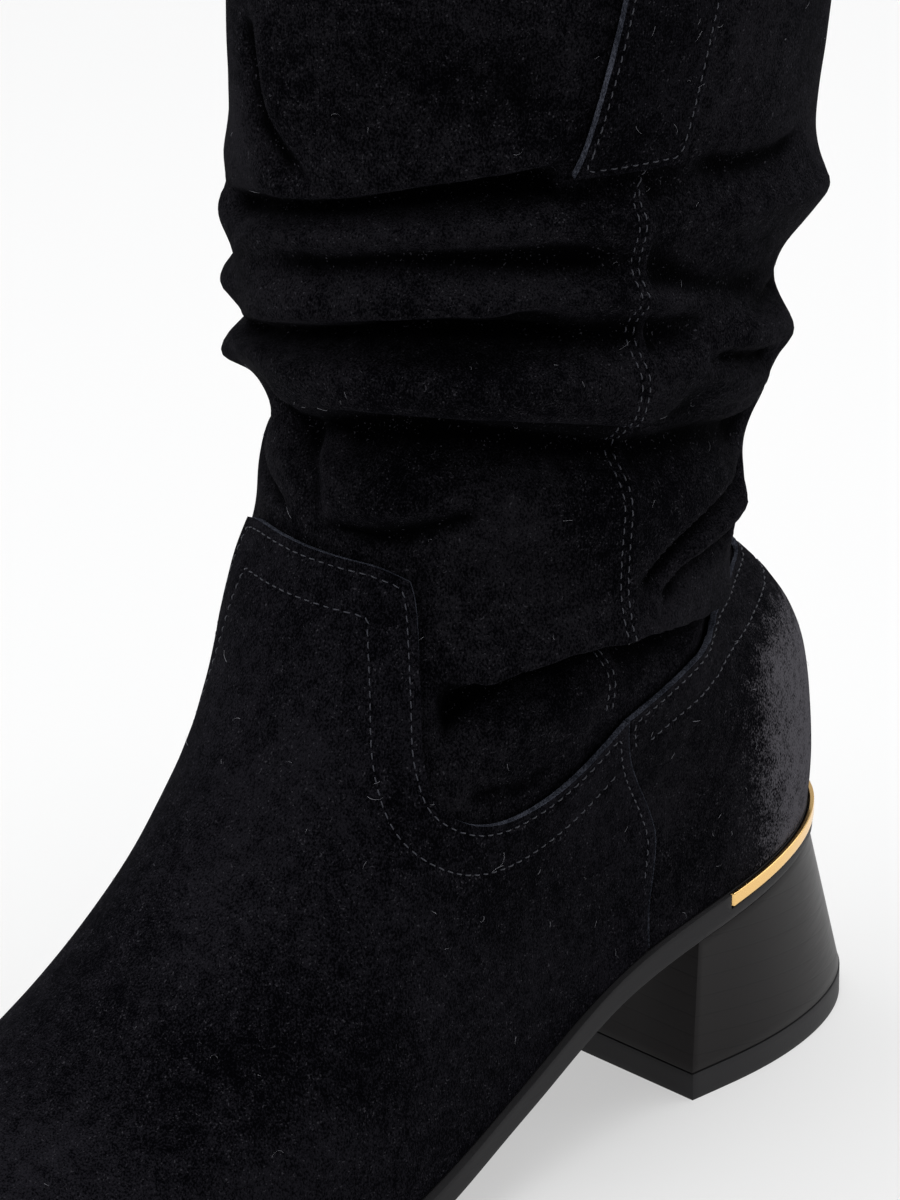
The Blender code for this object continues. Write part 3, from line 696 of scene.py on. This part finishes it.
WAISTS = (
    Crease("waist over the back of the heel", -3.8, 8.0, 11.0, fade=26.0, line=(
        (300, 100), (330, 101), (358, 102))),
    Crease("waist over the heel's outer rear", -3.8, 8.0, 11.0, fade=26.0, line=(
        (2, 102), (20, 101), (38, 100), (56, 98), (74, 96))),
)


# ---- Meshes ----


def only(item: Object) -> Object:
    """Makes one object the only selected and active one."""
    bpy.ops.object.select_all(action="DESELECT")
    bpy.context.view_layer.objects.active = item
    item.select_set(True)
    return item


def points_of(item: Object) -> ndarray:
    """The object's vertices as an array."""
    points = np.empty(len(item.data.vertices) * 3)
    item.data.vertices.foreach_get("co", points)
    return points.reshape(-1, 3)


def normals_of(item: Object) -> ndarray:
    """The object's outward directions at its vertices."""
    normals = np.empty(len(item.data.vertices) * 3)
    item.data.vertices.foreach_get("normal", normals)
    return normals.reshape(-1, 3)


def store(item: Object, name: str, values: ndarray) -> None:
    """Stores a measure at the object's vertices."""
    item.data.attributes.new(name, "FLOAT", "POINT").data.foreach_set("value", values)


def set_points(item: Object, points: ndarray) -> None:
    """Moves the object's vertices."""
    item.data.vertices.foreach_set("co", points.ravel())
    item.data.update()


def tree_of(item: Object) -> BVHTree:
    """A search tree of the object's faces."""
    corners = [vertex.co[:] for vertex in item.data.vertices]
    return BVHTree.FromPolygons(corners, [face.vertices[:] for face in item.data.polygons])


@contextmanager
def edited(item: Object) -> Iterator[BMesh]:
    """Opens an object's mesh and writes it back afterwards."""
    model = bmesh.new()
    model.from_mesh(item.data)
    yield model
    model.to_mesh(item.data)
    model.free()


def sharpness(model: BMesh) -> BMLayerItem:
    """The layer that says how sharp subdivision keeps each edge."""
    layers = model.edges.layers.float
    return layers.get("crease_edge") or layers.new("crease_edge")


def new_item(name: str, points: list, faces: list, smooth: bool) -> Object:
    """Makes an object of points and faces, at the origin."""
    mesh = bpy.data.meshes.new(name)
    mesh.from_pydata(points, [], faces)
    mesh.polygons.foreach_set("use_smooth", [smooth] * len(mesh.polygons))
    item = bpy.data.objects.new(name, mesh)
    bpy.context.scene.collection.objects.link(item)
    return item


def copy_node(node: str, name: str) -> Object:
    """Copies a CAD node's mesh, merged and turned back into quads.

    Args:
        node: The CAD node.
        name: The new piece's name.

    Returns:
        The new object, at the origin.
    """
    item = bpy.data.objects.new(name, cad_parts[node].data.copy())
    item.data.name = name
    item.data.materials.clear()
    bpy.context.scene.collection.objects.link(item)
    only(item)
    bpy.ops.mesh.customdata_custom_splitnormals_clear()
    bpy.ops.object.mode_set(mode="EDIT")
    bpy.ops.mesh.select_all(action="SELECT")
    bpy.ops.mesh.remove_doubles(threshold=MERGE)
    bpy.ops.mesh.tris_convert_to_quads(face_threshold=math.pi, shape_threshold=math.pi)
    bpy.ops.mesh.mark_sharp(clear=True)
    bpy.ops.object.mode_set(mode="OBJECT")
    return item


def apply(item: Object, kind: str, **settings: object) -> None:
    """Adds a modifier and applies it."""
    only(item)
    made = item.modifiers.new(kind.lower(), kind)
    for name, value in settings.items():
        setattr(made, name, value)
    bpy.ops.object.modifier_apply(modifier=made.name)


def refine(item: Object, levels: int) -> None:
    """Rounds a mesh by subdivision and shades it smooth."""
    apply(item, "SUBSURF", levels=levels, render_levels=levels)
    item.data.polygons.foreach_set("use_smooth", [True] * len(item.data.polygons))


def mark_relief(item: Object, rounds: int) -> None:
    """Stores how far each point stands out of its surroundings, in millimetres, and how far it looks down,
    as the fold that the suede's painted shade is drawn from.

    Args:
        item: The piece, in its final shape.
        rounds: How often the surroundings are smoothed.
    """
    points = points_of(item)
    pairs = np.empty(len(item.data.edges) * 2, int)
    item.data.edges.foreach_get("vertices", pairs)
    first, second = pairs.reshape(-1, 2).T
    both = ((first, second), (second, first))
    count = np.maximum(np.bincount(pairs, minlength=len(points)), 1)[:, None]
    soft = points.copy()
    for _ in range(rounds):
        around = [
            np.bincount(start, soft[end, axis], len(points)) for start, end in both for axis in range(3)
        ]
        soft = (soft + (np.stack(around[:3], axis=-1) + np.stack(around[3:], axis=-1)) / count) / 2
    normals = normals_of(item)
    relief = ((points - soft) * normals).sum(axis=1) / MM
    facing = np.clip(normals[:, 2], *FACING_LIMITS)
    store(item, "fold", np.clip(relief * RELIEF_GAIN + facing * FACING_GAIN, *FOLD_SHADE_LIMITS))


def finish_piece(item: Object, node: str | None, slot: str, *materials: Material) -> None:
    """Puts a piece's finishes on, ties it to the boot and reports it."""
    for material in materials:
        item.data.materials.append(material)
    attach(item, "root")
    if node:
        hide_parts(node)
    LOG.info("%s: %d faces", item.name, len(item.data.polygons))


@dataclass
class Trace:
    """A panel's edge as a run of points, with the way inwards over the panel at each."""

    points: ndarray
    inward: ndarray
    stride: float = 0.002
    kept: float = 0.94
    rounds: int = 3

    def without_sides(self, low: float = 0.087, reach: float = 101.0) -> "Trace":
        """The run without its part beside the side seams, lower than low and within reach of the front."""
        degrees = np.abs(LEG.angle(self.points) - 180)
        beside = (self.points[:, 2] < low) & (degrees > 180 - reach) & (degrees < reach)
        return Trace(self.points[~beside], self.inward[~beside])

    def row(self, surface: BVHTree, distance: float, pitch: float) -> tuple[ndarray, ndarray]:
        """Lays a line on the panel at a distance inside its edge.

        Args:
            surface: The panel's faces.
            distance: How far inside the edge, in metres.
            pitch: Distance between the points that come back.

        Returns:
            Points on the panel and its outward directions there.
        """
        points = self.points.copy()
        inward = self.inward.copy()
        steps = max(1, round(distance / self.stride))
        for _ in range(steps):
            for index, point in enumerate(points):
                found = surface.find_nearest(Vector(point + inward[index] * distance / steps))
                points[index] = found[0]
                normal = np.array(found[1])
                inward[index] = unit(inward[index] - normal * (inward[index] @ normal))
        gap = np.linalg.norm(points[:, None, :] - self.points[None, :, :], axis=2).min(axis=1)
        points = points[gap > distance * self.kept]
        for _ in range(self.rounds):
            points[1:-1] = (points[:-2] + 2 * points[1:-1] + points[2:]) / 4
        points = even_line(points, pitch)
        found = [surface.find_nearest(Vector(point)) for point in points]
        return np.array([hit[0][:] for hit in found]), np.array([hit[1][:] for hit in found])


def traces(item: Object, shortest: int = 8, rounds: int = 6) -> list[Trace]:
    """Follows the seam-marked edges of a mesh.

    Args:
        item: The object.
        shortest: Runs of no more edges than this are left out.
        rounds: How often the ways inwards are smoothed.

    Returns:
        The runs, longest first.
    """
    model = bmesh.new()
    model.from_mesh(item.data)
    model.normal_update()
    marked = {edge for edge in model.edges if edge.seam}

    def is_end(vertex: BMVert) -> bool:
        """Whether a run stops at the vertex."""
        return sum(edge in marked for edge in vertex.link_edges) == 1

    runs = []
    while marked:
        loose = [edge for edge in marked if any(is_end(vertex) for vertex in edge.verts)]
        edge = min(loose or marked, key=lambda e: e.index)
        vertex = next((v for v in edge.verts if is_end(v)), edge.verts[0])
        points, inward = [], []
        while edge is not None:
            marked.discard(edge)
            following = edge.other_vert(vertex)
            middle = (vertex.co + following.co) / 2
            face = max(edge.link_faces, key=LEG.away)
            tangent = (following.co - vertex.co).normalized()
            way = face.calc_center_median() - middle
            way -= tangent * way.dot(tangent)
            points.append(middle[:])
            inward.append(way.normalized()[:])
            vertex = following
            edge = next((e for e in vertex.link_edges if e in marked), None)
        if len(points) > shortest:
            ways = np.array(inward)
            for _ in range(rounds):
                ways[1:-1] = (ways[:-2] + ways[1:-1] + ways[2:]) / 3
            runs.append(Trace(np.array(points), unit(ways)))
    model.free()
    return sorted(runs, key=lambda run: -len(run.points))


# ---- Upper ----


# Middle line of the leg, then of the foot, that faces of the wall are sorted by
SPINE_PACE = 0.004
SHAFT_SPINE = ((-0.046, 0, 0.30), (-0.050, 0, 0.20), (-0.056, 0, 0.12), (-0.025, 0, 0.075))
FOOT_SPINE = (
    (-0.056, 0, 0.12), (-0.080, 0, 0.080), (-0.110, 0.001, 0.052),
    (-0.150, 0.003, 0.030), (-0.200, 0.004, 0.020),
)
# Unevenness: waves per metre, and the height over which it comes in above the foot
SLOW_SCALE, QUICK_SCALE, QUICK_SHIFT = 55, 160, 9
FOOT_TOP, FADE_HEIGHT = 0.05, 0.04


@dataclass
class Upper:
    """Foot and slouched shaft, its lapped side seams, and the field of creases that it carries."""

    finishes: Finishes
    levels: int = 2
    ring_heights: tuple = (0.2135, 0.2205, 0.228, 0.236, 0.245, 0.255, 0.265, 0.274, 0.2805, 0.2838)
    sway: float = 0.00034
    ripple: float = 0.00010
    clear: float = 0.00035
    bold: float = 1.45
    relief_rounds: int = 70
    rim_up: float = 0.9
    rim_height: float = 0.284
    steep: float = 0.55
    lap_sides: tuple = (70, 100)
    lap_bottom: float = 0.085
    lap_turn: float = 24.0
    lap_sharpness: float = 0.95
    covered: float = 0.0026
    item: Object = field(init=False)

    def build(self, covers: list[Object]) -> None:
        """Builds the upper under its covering panels."""
        self.item = copy_node("upper", "upper_leather")
        self.cut_rings()
        self.sort_faces()
        self.mark_laps()
        refine(self.item, self.levels)
        points = points_of(self.item)
        open_share = self.open_share(points, covers)
        moved = points + self.field(points) * open_share[:, None]
        moved += self.drift(points)
        moved -= LEG.outward(points) * self.clear * (1 - open_share)[:, None]
        set_points(self.item, moved)
        mark_relief(self.item, self.relief_rounds)
        finish_piece(self.item, "upper", "upper_suede", self.finishes.upper, self.finishes.lining)

    def cut_rings(self) -> None:
        """Adds level rings to the long faces of the shaft."""
        with edited(self.item) as model:
            for height in self.ring_heights:
                parts = [*model.verts, *model.edges, *model.faces]
                place = (0, 0, height)
                bmesh.ops.bisect_plane(model, geom=parts, dist=CUT_REACH, plane_co=place, plane_no=(0, 0, 1))

    def sort_faces(self) -> None:
        """Gives the inner face of the wall its own finish."""
        line = np.concatenate([even_line(np.array(run), SPINE_PACE) for run in (SHAFT_SPINE, FOOT_SPINE)])
        for face in self.item.data.polygons:
            gap = np.array(face.center) - line
            nearest = gap[(gap**2).sum(axis=1).argmin()]
            rim = face.normal.z > self.rim_up and face.center.z > self.rim_height
            inside = not rim and nearest @ np.array(face.normal) < 0
            face.material_index = Facing.IN.value if inside else Facing.OUT.value

    def mark_laps(self) -> None:
        """Keeps the laps of the side seams crisp and marks their front edges."""
        with edited(self.item) as model:
            crease = sharpness(model)
            for edge in model.edges:
                foot = edge.verts[0].co
                run = edge.verts[1].co - foot
                if len(edge.link_faces) != 2 or abs(run.z) < self.steep * run.length:
                    continue
                if any(face.material_index == Facing.IN.value for face in edge.link_faces):
                    continue
                angle = edge.calc_face_angle_signed()
                side = abs(LEG.angle(np.array([foot[:]]))[0] - 180)
                beside = self.lap_sides[0] < side < self.lap_sides[1] and foot.z > self.lap_bottom
                if abs(angle) > math.radians(self.lap_turn) and beside:
                    edge[crease] = self.lap_sharpness
                    edge.seam = angle > 0

    def open_share(self, points: ndarray, covers: list[Object]) -> ndarray:
        """How free of the covering panels each point lies, from 0 to 1."""
        trees = [tree_of(cover) for cover in covers]
        reach = np.full(len(points), 1.0)
        for index, point in enumerate(points):
            for tree in trees:
                found = tree.find_nearest(Vector(point), 2 * self.covered)
                if found[0] is not None:
                    reach[index] = min(reach[index], found[3])
        return ease((reach - self.covered) / self.covered)

    def field(self, points: ndarray) -> ndarray:
        """How far the creases move points of the leg."""
        flat = LEG.unroll(LEG.angle(points), points[:, 2] / MM)
        out = np.zeros(len(points))
        down = np.zeros(len(points))
        for crease in CREASES:
            press = crease.press(flat)
            out += press * crease.out
            down += press * crease.droop
        moves = LEG.outward(points) * out[:, None]
        moves[:, 2] += down
        return moves * MM * self.bold

    def drift(self, points: ndarray) -> ndarray:
        """Slow unevenness that every panel of the shaft and foot shares."""
        slow = np.array([noise.noise(Vector(point * SLOW_SCALE)) for point in points])
        quick = np.array([noise.noise(Vector(point * QUICK_SCALE + QUICK_SHIFT)) for point in points])
        fade = np.clip((points[:, 2] - FOOT_TOP) / FADE_HEIGHT, 0, 1)
        flat = LEG.unroll(LEG.angle(points), points[:, 2] / MM)
        waist = sum(crease.press(flat) * crease.out for crease in WAISTS) * MM
        return LEG.outward(points) * ((slow * self.sway + quick * self.ripple) * fade + waist)[:, None]


@dataclass
class Panel:
    """A panel laid over the upper, with a pale cut edge."""

    node: str
    name: str
    slot: str
    material: Material
    cut: Material
    all_round: bool = False
    levels: int = 3
    rim: float = 0.0026
    rim_turn: float = 40.0
    flat_from: float = 0.85
    relief_rounds: int = 40
    trace_from: float = 0.052
    trace_down: float = -0.35
    trace_out: float = 0.45
    item: Object = field(init=False)

    def build(self) -> None:
        """Copies the panel, keeps its rim crisp and marks its upper and side edges."""
        self.item = copy_node(self.node, self.name)
        turn = math.radians(self.rim_turn)
        with edited(self.item) as model:
            crease = sharpness(model)
            for face in model.faces:
                slim = face.calc_area() < max(edge.calc_length() for edge in face.edges) * self.rim
                sharp = sum(edge.calc_face_angle(0.0) > turn for edge in face.edges) >= 2
                face.material_index = int(slim and sharp and abs(LEG.away(face)) < self.flat_from)
            for edge in model.edges:
                if edge.calc_face_angle(0.0) > turn:
                    edge[crease] = 1.0
                    edge.seam = self.traced(edge)
        refine(self.item, self.levels)

    def traced(self, edge: BMEdge) -> bool:
        """Whether stitches run inside this edge of the panel's outer face."""
        rim, outer = sorted(edge.link_faces, key=LEG.away)
        height = (edge.verts[0].co.z + edge.verts[1].co.z) / 2
        high = rim.normal.z > self.trace_down and height > self.trace_from
        return LEG.away(outer) > self.trace_out and (self.all_round or high)

    def groove(self, row: ndarray, depth: float = 0.00028, width: float = 0.0010) -> None:
        """Sinks the panel's outer face along a row of stitches.

        Args:
            row: The row's points.
            depth: How deep, in metres.
            width: How wide, in metres; it has run out at three times this.
        """
        points = points_of(self.item)
        normals = normals_of(self.item)
        low, high = row.min(axis=0) - 3 * width, row.max(axis=0) + 3 * width
        line = even_line(row, width / 2)
        for index in np.flatnonzero(((points > low) & (points < high)).all(axis=1)):
            gap = ((line - points[index]) ** 2).sum(axis=1).min()
            if gap < (3 * width) ** 2:
                points[index] -= normals[index] * depth * math.exp(-gap / width**2)
        set_points(self.item, points)

    def dress(self, upper: Upper) -> None:
        """Moves the panel with the upper's slow unevenness and finishes it."""
        points = points_of(self.item)
        set_points(self.item, points + upper.drift(points))
        mark_relief(self.item, self.relief_rounds)
        finish_piece(self.item, self.node, self.slot, self.material, self.cut)


# ---- Thread and lint ----


@dataclass
class Stitching:
    """Rows of short stitches sunk into the leather, joined to one piece."""

    name: str
    slot: str
    material: Material
    length: float = 0.0016
    pitch: float = 0.0023
    radius: float = 0.00015
    sink: float = 0.00020
    corners: int = 6
    rings: tuple = (-0.36, -0.12, 0.12, 0.36)
    taper: float = 0.45
    rise: float = 0.55
    dip: float = 2.1
    slant: float = 0.06
    lengths: tuple = (0.86, 1.06)
    places: list = field(default_factory=list)

    def along(self, points: ndarray, normals: ndarray) -> None:
        """Sets a stitch at each point of a line."""
        self.places += list(zip(points, np.gradient(points, axis=0), normals))

    def template(self) -> tuple[ndarray, list]:
        """Shapes one stitch along X: a short thread that dips at both ends.

        Returns:
            Its points and its faces.
        """
        bpy.ops.object.select_all(action="DESELECT")
        bpy.ops.mesh.primitive_cylinder_add(
            vertices=self.corners, radius=self.radius, depth=self.length, rotation=(0, math.pi / 2, 0)
        )
        stitch = bpy.context.active_object
        bpy.ops.object.transform_apply(location=True, rotation=True, scale=True)
        with edited(stitch) as model:
            for share in self.rings:
                parts = [*model.verts, *model.edges, *model.faces]
                place = (share * self.length, 0, 0)
                bmesh.ops.bisect_plane(model, geom=parts, plane_co=place, plane_no=(1, 0, 0))
        points = points_of(stitch)
        share = np.abs(points[:, 0]) / (self.length / 2)
        points[:, 1:] *= (1 - self.taper * share**4)[:, None]
        points[:, 2] += self.radius * (self.rise - self.dip * share**3)
        faces = [face.vertices[:] for face in stitch.data.polygons]
        bpy.data.objects.remove(stitch)
        return points, faces

    def build(self) -> None:
        """Joins a copy of the stitch at every place."""
        template, faces = self.template()
        draw = np.random.default_rng(SEED)
        points, all_faces = [], []
        for place, way, normal in self.places:
            up = unit(normal)
            ahead = unit(way - up * (way @ up))
            ahead = unit(ahead + np.cross(up, ahead) * draw.normal(0, self.slant))
            axes = np.stack([ahead, np.cross(up, ahead), up])
            start = len(points) * len(template)
            points.append((template * [draw.uniform(*self.lengths), 1, 1]) @ axes + place)
            all_faces += [tuple(corner + start for corner in face) for face in faces]
        item = new_item(self.name, np.concatenate(points).tolist(), all_faces, smooth=True)
        finish_piece(item, None, self.slot, self.material)


@dataclass
class Lint:
    """Loose pale hairs and raised nap fibres caught on the suede."""

    material: Material
    panels: list
    count: int = 380
    sides: int = 3
    joints: int = 7
    lengths: tuple = (0.0012, 0.0020, 0.0032)
    odds: tuple = (0.5, 0.35, 0.15)
    spread: tuple = (0.7, 1.3)
    radii: tuple = (0.000028, 0.00005)
    curl: float = 1.5
    lifts: tuple = (0.05, 0.5)
    fall: float = 2.6
    taper: float = 0.6
    clear: float = 0.00005
    points: list = field(default_factory=list)
    faces: list = field(default_factory=list)

    def build(self) -> None:
        """Grows every hair from a random place on the panels."""
        draw = np.random.default_rng(SEED + 1)
        for item, share in self.panels:
            areas = np.array([face.area * (face.material_index == 0) for face in item.data.polygons])
            for pick in draw.choice(len(areas), int(self.count * share), p=areas / areas.sum()):
                face = item.data.polygons[int(pick)]
                self.grow(np.array(face.center), np.array(face.normal), draw)
        item = new_item("lint_hairs", self.points, self.faces, smooth=False)
        finish_piece(item, None, "upper_suede", self.material)

    def grow(self, root: ndarray, up: ndarray, draw: np.random.Generator) -> None:
        """Adds one curled hair.

        Args:
            root: Where it is caught.
            up: The suede's outward direction there.
            draw: The source of chance.
        """
        length = draw.choice(self.lengths, p=self.odds) * draw.uniform(*self.spread)
        radius = draw.uniform(*self.radii)
        side = unit(np.cross(up, draw.normal(size=3)))
        across = np.cross(up, side)
        curl = draw.normal(0, self.curl)
        lift = draw.uniform(*self.lifts)
        start = len(self.points)
        heading = 0.0
        place = root + up * self.clear
        for joint in range(self.joints):
            width = radius * (1 - self.taper * joint / self.joints)
            for corner in range(self.sides):
                turn = 2 * math.pi * corner / self.sides
                self.points.append(tuple(place + width * (math.cos(turn) * up + math.sin(turn) * across)))
            heading += curl / self.joints
            ahead = side * math.cos(heading) + across * math.sin(heading)
            ahead += up * lift * math.cos(joint / self.joints * self.fall)
            place = place + ahead * length / self.joints
        for joint in range(self.joints - 1):
            for corner in range(self.sides):
                following = (corner + 1) % self.sides
                low = start + joint * self.sides
                high = low + self.sides
                self.faces.append((low + corner, low + following, high + following, high + corner))
        last = start + (self.joints - 1) * self.sides
        self.faces.append(tuple(start + corner for corner in reversed(range(self.sides))))
        self.faces.append(tuple(last + corner for corner in range(self.sides)))


# ---- Sole and heel ----


@dataclass
class Hard:
    """A hard piece of sole or heel: the CAD shape rounded along its sweeps and softened at its edges."""

    node: str
    name: str
    slot: str
    material: Material
    levels: int = 2
    sharp: float = 35.0
    bevel: float = 0.0003
    bevel_from: float = 40.0
    smooth_to: float = 50.0

    def build(self) -> None:
        """Builds the piece."""
        item = copy_node(self.node, self.name)
        with edited(item) as model:
            crease = sharpness(model)
            for edge in model.edges:
                if edge.calc_face_angle(0.0) > math.radians(self.sharp):
                    edge[crease] = 1.0
        refine(item, self.levels)
        turn = math.radians(self.bevel_from)
        apply(item, "BEVEL", width=self.bevel, segments=2, limit_method="ANGLE", angle_limit=turn)
        only(item)
        bpy.ops.object.shade_smooth_by_angle(angle=math.radians(self.smooth_to))
        store(item, "under", np.clip(-normals_of(item)[:, 2], 0, 1))
        finish_piece(item, self.node, self.slot, self.material)


# ---- Studio ----


@dataclass(frozen=True)
class Lamp:
    """A soft square light."""

    name: str
    place: tuple
    aim: tuple
    size: float
    power: float

    def build(self) -> None:
        """Adds the light."""
        lamp = bpy.data.lights.new(self.name, "AREA")
        lamp.size = self.size
        lamp.energy = self.power
        item = bpy.data.objects.new(self.name, lamp)
        item.location = self.place
        item.rotation_euler = (Vector(self.aim) - Vector(self.place)).to_track_quat("-Z", "Y").to_euler()
        bpy.context.scene.collection.objects.link(item)


LAMPS = (
    Lamp("overhead", place=(0.05, 0.1, 1.7), aim=(-0.05, 0.0, 0.15), size=1.4, power=30.0),
    Lamp("rear_right", place=(1.4, -0.6, 0.9), aim=(-0.03, 0.0, 0.12), size=1.1, power=6.0),
    Lamp("front_left", place=(-1.5, 0.5, 0.9), aim=(-0.06, 0.0, 0.12), size=1.0, power=5.5),
)


@dataclass
class Studio:
    """Pale floor, soft light and the camera at the photograph's angle."""

    azimuth: float = 44.1
    elevation: float = 23.1
    aim_right: float = -0.0732
    aim_up: float = 0.0718
    lift_half: float = 0.0325
    distance: float = 1.7
    scale: float = 4.92
    frame_height: float = 1200.0
    sensor: float = 36.0
    clip: tuple = (0.1, 30.0)
    floor_size: float = 12.0
    paper: tuple = (0.34, 0.34, 0.34, 1.0)
    paper_glow: tuple = (0.480, 0.478, 0.476, 1.0)
    sky: tuple = (0.96, 0.975, 1.0, 1.0)
    sky_strength: float = 0.50

    def build(self) -> None:
        """Sets the stage."""
        bpy.ops.object.select_all(action="DESELECT")
        bpy.ops.mesh.primitive_plane_add(size=self.floor_size)
        floor = bpy.context.active_object
        floor.name = "floor"
        graph = Graph("floor_paper")
        graph.put(Base_Color=self.paper, Roughness=0.9, Specular_IOR_Level=0.1)
        graph.put(Emission_Color=self.paper_glow, Emission_Strength=1.0)
        floor.data.materials.append(graph.material)
        floor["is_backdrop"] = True
        bpy.context.scene.view_settings.view_transform = "Standard"
        world = bpy.data.worlds.new("studio")
        bpy.context.scene.world = world
        world.use_nodes = True
        sky = world.node_tree.nodes["Background"]
        sky.inputs["Color"].default_value = self.sky
        sky.inputs["Strength"].default_value = self.sky_strength
        for lamp in LAMPS:
            lamp.build()
        self.camera()

    def camera(self) -> None:
        """Adds the camera and makes it the scene's."""
        turn, rise = math.radians(self.azimuth), math.radians(self.elevation)
        back = Vector((-math.sin(turn) * math.cos(rise), -math.cos(turn) * math.cos(rise), math.sin(rise)))
        right = Vector((math.cos(turn), -math.sin(turn), 0.0))
        up = back.cross(right)
        aim = Vector((self.lift_half, 0, 0)) + right * self.aim_right + up * self.aim_up
        lens = bpy.data.cameras.new("photo_camera")
        lens.sensor_width = self.sensor
        lens.lens = self.scale * self.distance / MM / self.frame_height * self.sensor
        lens.clip_start, lens.clip_end = self.clip
        item = bpy.data.objects.new("photo_camera", lens)
        turned = Matrix((right, up, back)).transposed().to_4x4()
        item.matrix_world = Matrix.Translation(aim + back * self.distance) @ turned
        bpy.context.scene.collection.objects.link(item)
        bpy.context.scene.camera = item


# ---- The boot ----


@dataclass
class Boot:
    """The whole boot."""

    finishes: Finishes = field(default_factory=Finishes)
    first_row: float = 0.0019
    second_row: float = 0.0096
    lap_rows: tuple = (0.0019, 0.0036)
    strap_row: float = 0.0015
    lint_shares: tuple = (0.45, 0.32, 0.13, 0.10)

    def build(self) -> None:
        """Builds every piece in the order in which a maker puts them together."""
        looks = self.finishes
        Hard("outsole", "sole_unit", "sole_rubber", looks.sole, sharp=40.0, bevel=0.00025).build()
        Hard("heel_block", "heel_stack", "heel_stack", looks.stack).build()
        Hard("top_lift", "heel_lift", "lift_rubber", looks.lift).build()
        Hard("heel_trim", "trim_strip", "trim_metal", looks.metal, sharp=40.0, bevel=0.0002).build()
        Hard("insole", "insole_board", "insole_board", looks.board, levels=1).build()
        vamp = Panel("vamp_overlay", "vamp_panel", "vamp_suede", looks.vamp, looks.cut)
        counter = Panel("counter_overlay", "counter_panel", "counter_suede", looks.counter, looks.cut)
        straps = [
            Panel(f"pull_strap_{side}", f"strap_{side}", "strap_suede", looks.strap, looks.cut, True)
            for side in ("lateral", "medial")
        ]
        for panel in (vamp, counter, *straps):
            panel.build()
        upper = Upper(looks)
        upper.build([vamp.item, counter.item, *(strap.item for strap in straps)])
        for panel in (vamp, counter, *straps):
            panel.dress(upper)
        self.stitch(upper, vamp, counter, straps)
        caught = zip((upper.item, vamp.item, counter.item, straps[0].item), self.lint_shares)
        Lint(looks.lint, list(caught)).build()

    def stitch(self, upper: Upper, vamp: Panel, counter: Panel, straps: list[Panel]) -> None:
        """Sews every panel round its edges."""
        thread = self.finishes.thread
        sewn = Stitching("panel_stitching", "vamp_suede", thread)
        for panel in (vamp, counter):
            surface = tree_of(panel.item)
            trace = traces(panel.item)[0]
            for distance, run in ((self.first_row, trace), (self.second_row, trace.without_sides())):
                points, normals = run.row(surface, distance, sewn.pitch)
                panel.groove(points)
                sewn.along(points - normals * sewn.sink, normals)
        sewn.build()
        sewn = Stitching("shaft_stitching", "upper_suede", thread)
        surface = tree_of(upper.item)
        for trace in traces(upper.item)[:2]:
            for distance in self.lap_rows:
                sewn.along(*trace.row(surface, distance, sewn.pitch))
        sewn.build()
        sewn = Stitching("strap_stitching", "strap_suede", thread)
        for strap in straps:
            trace = traces(strap.item)[0]
            sewn.along(*trace.row(tree_of(strap.item), self.strap_row, sewn.pitch))
        sewn.build()


def main() -> None:
    """Builds the boot and its stage."""
    logging.basicConfig(level=logging.INFO, format="%(name)s: %(message)s")
    Boot().build()
    Studio().build()
    boxes = {"cad": CAD_BOX, "visual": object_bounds()}
    boxes = {name: [list(corner) for corner in box] for name, box in boxes.items()}


if __name__ == "__main__":
    main()
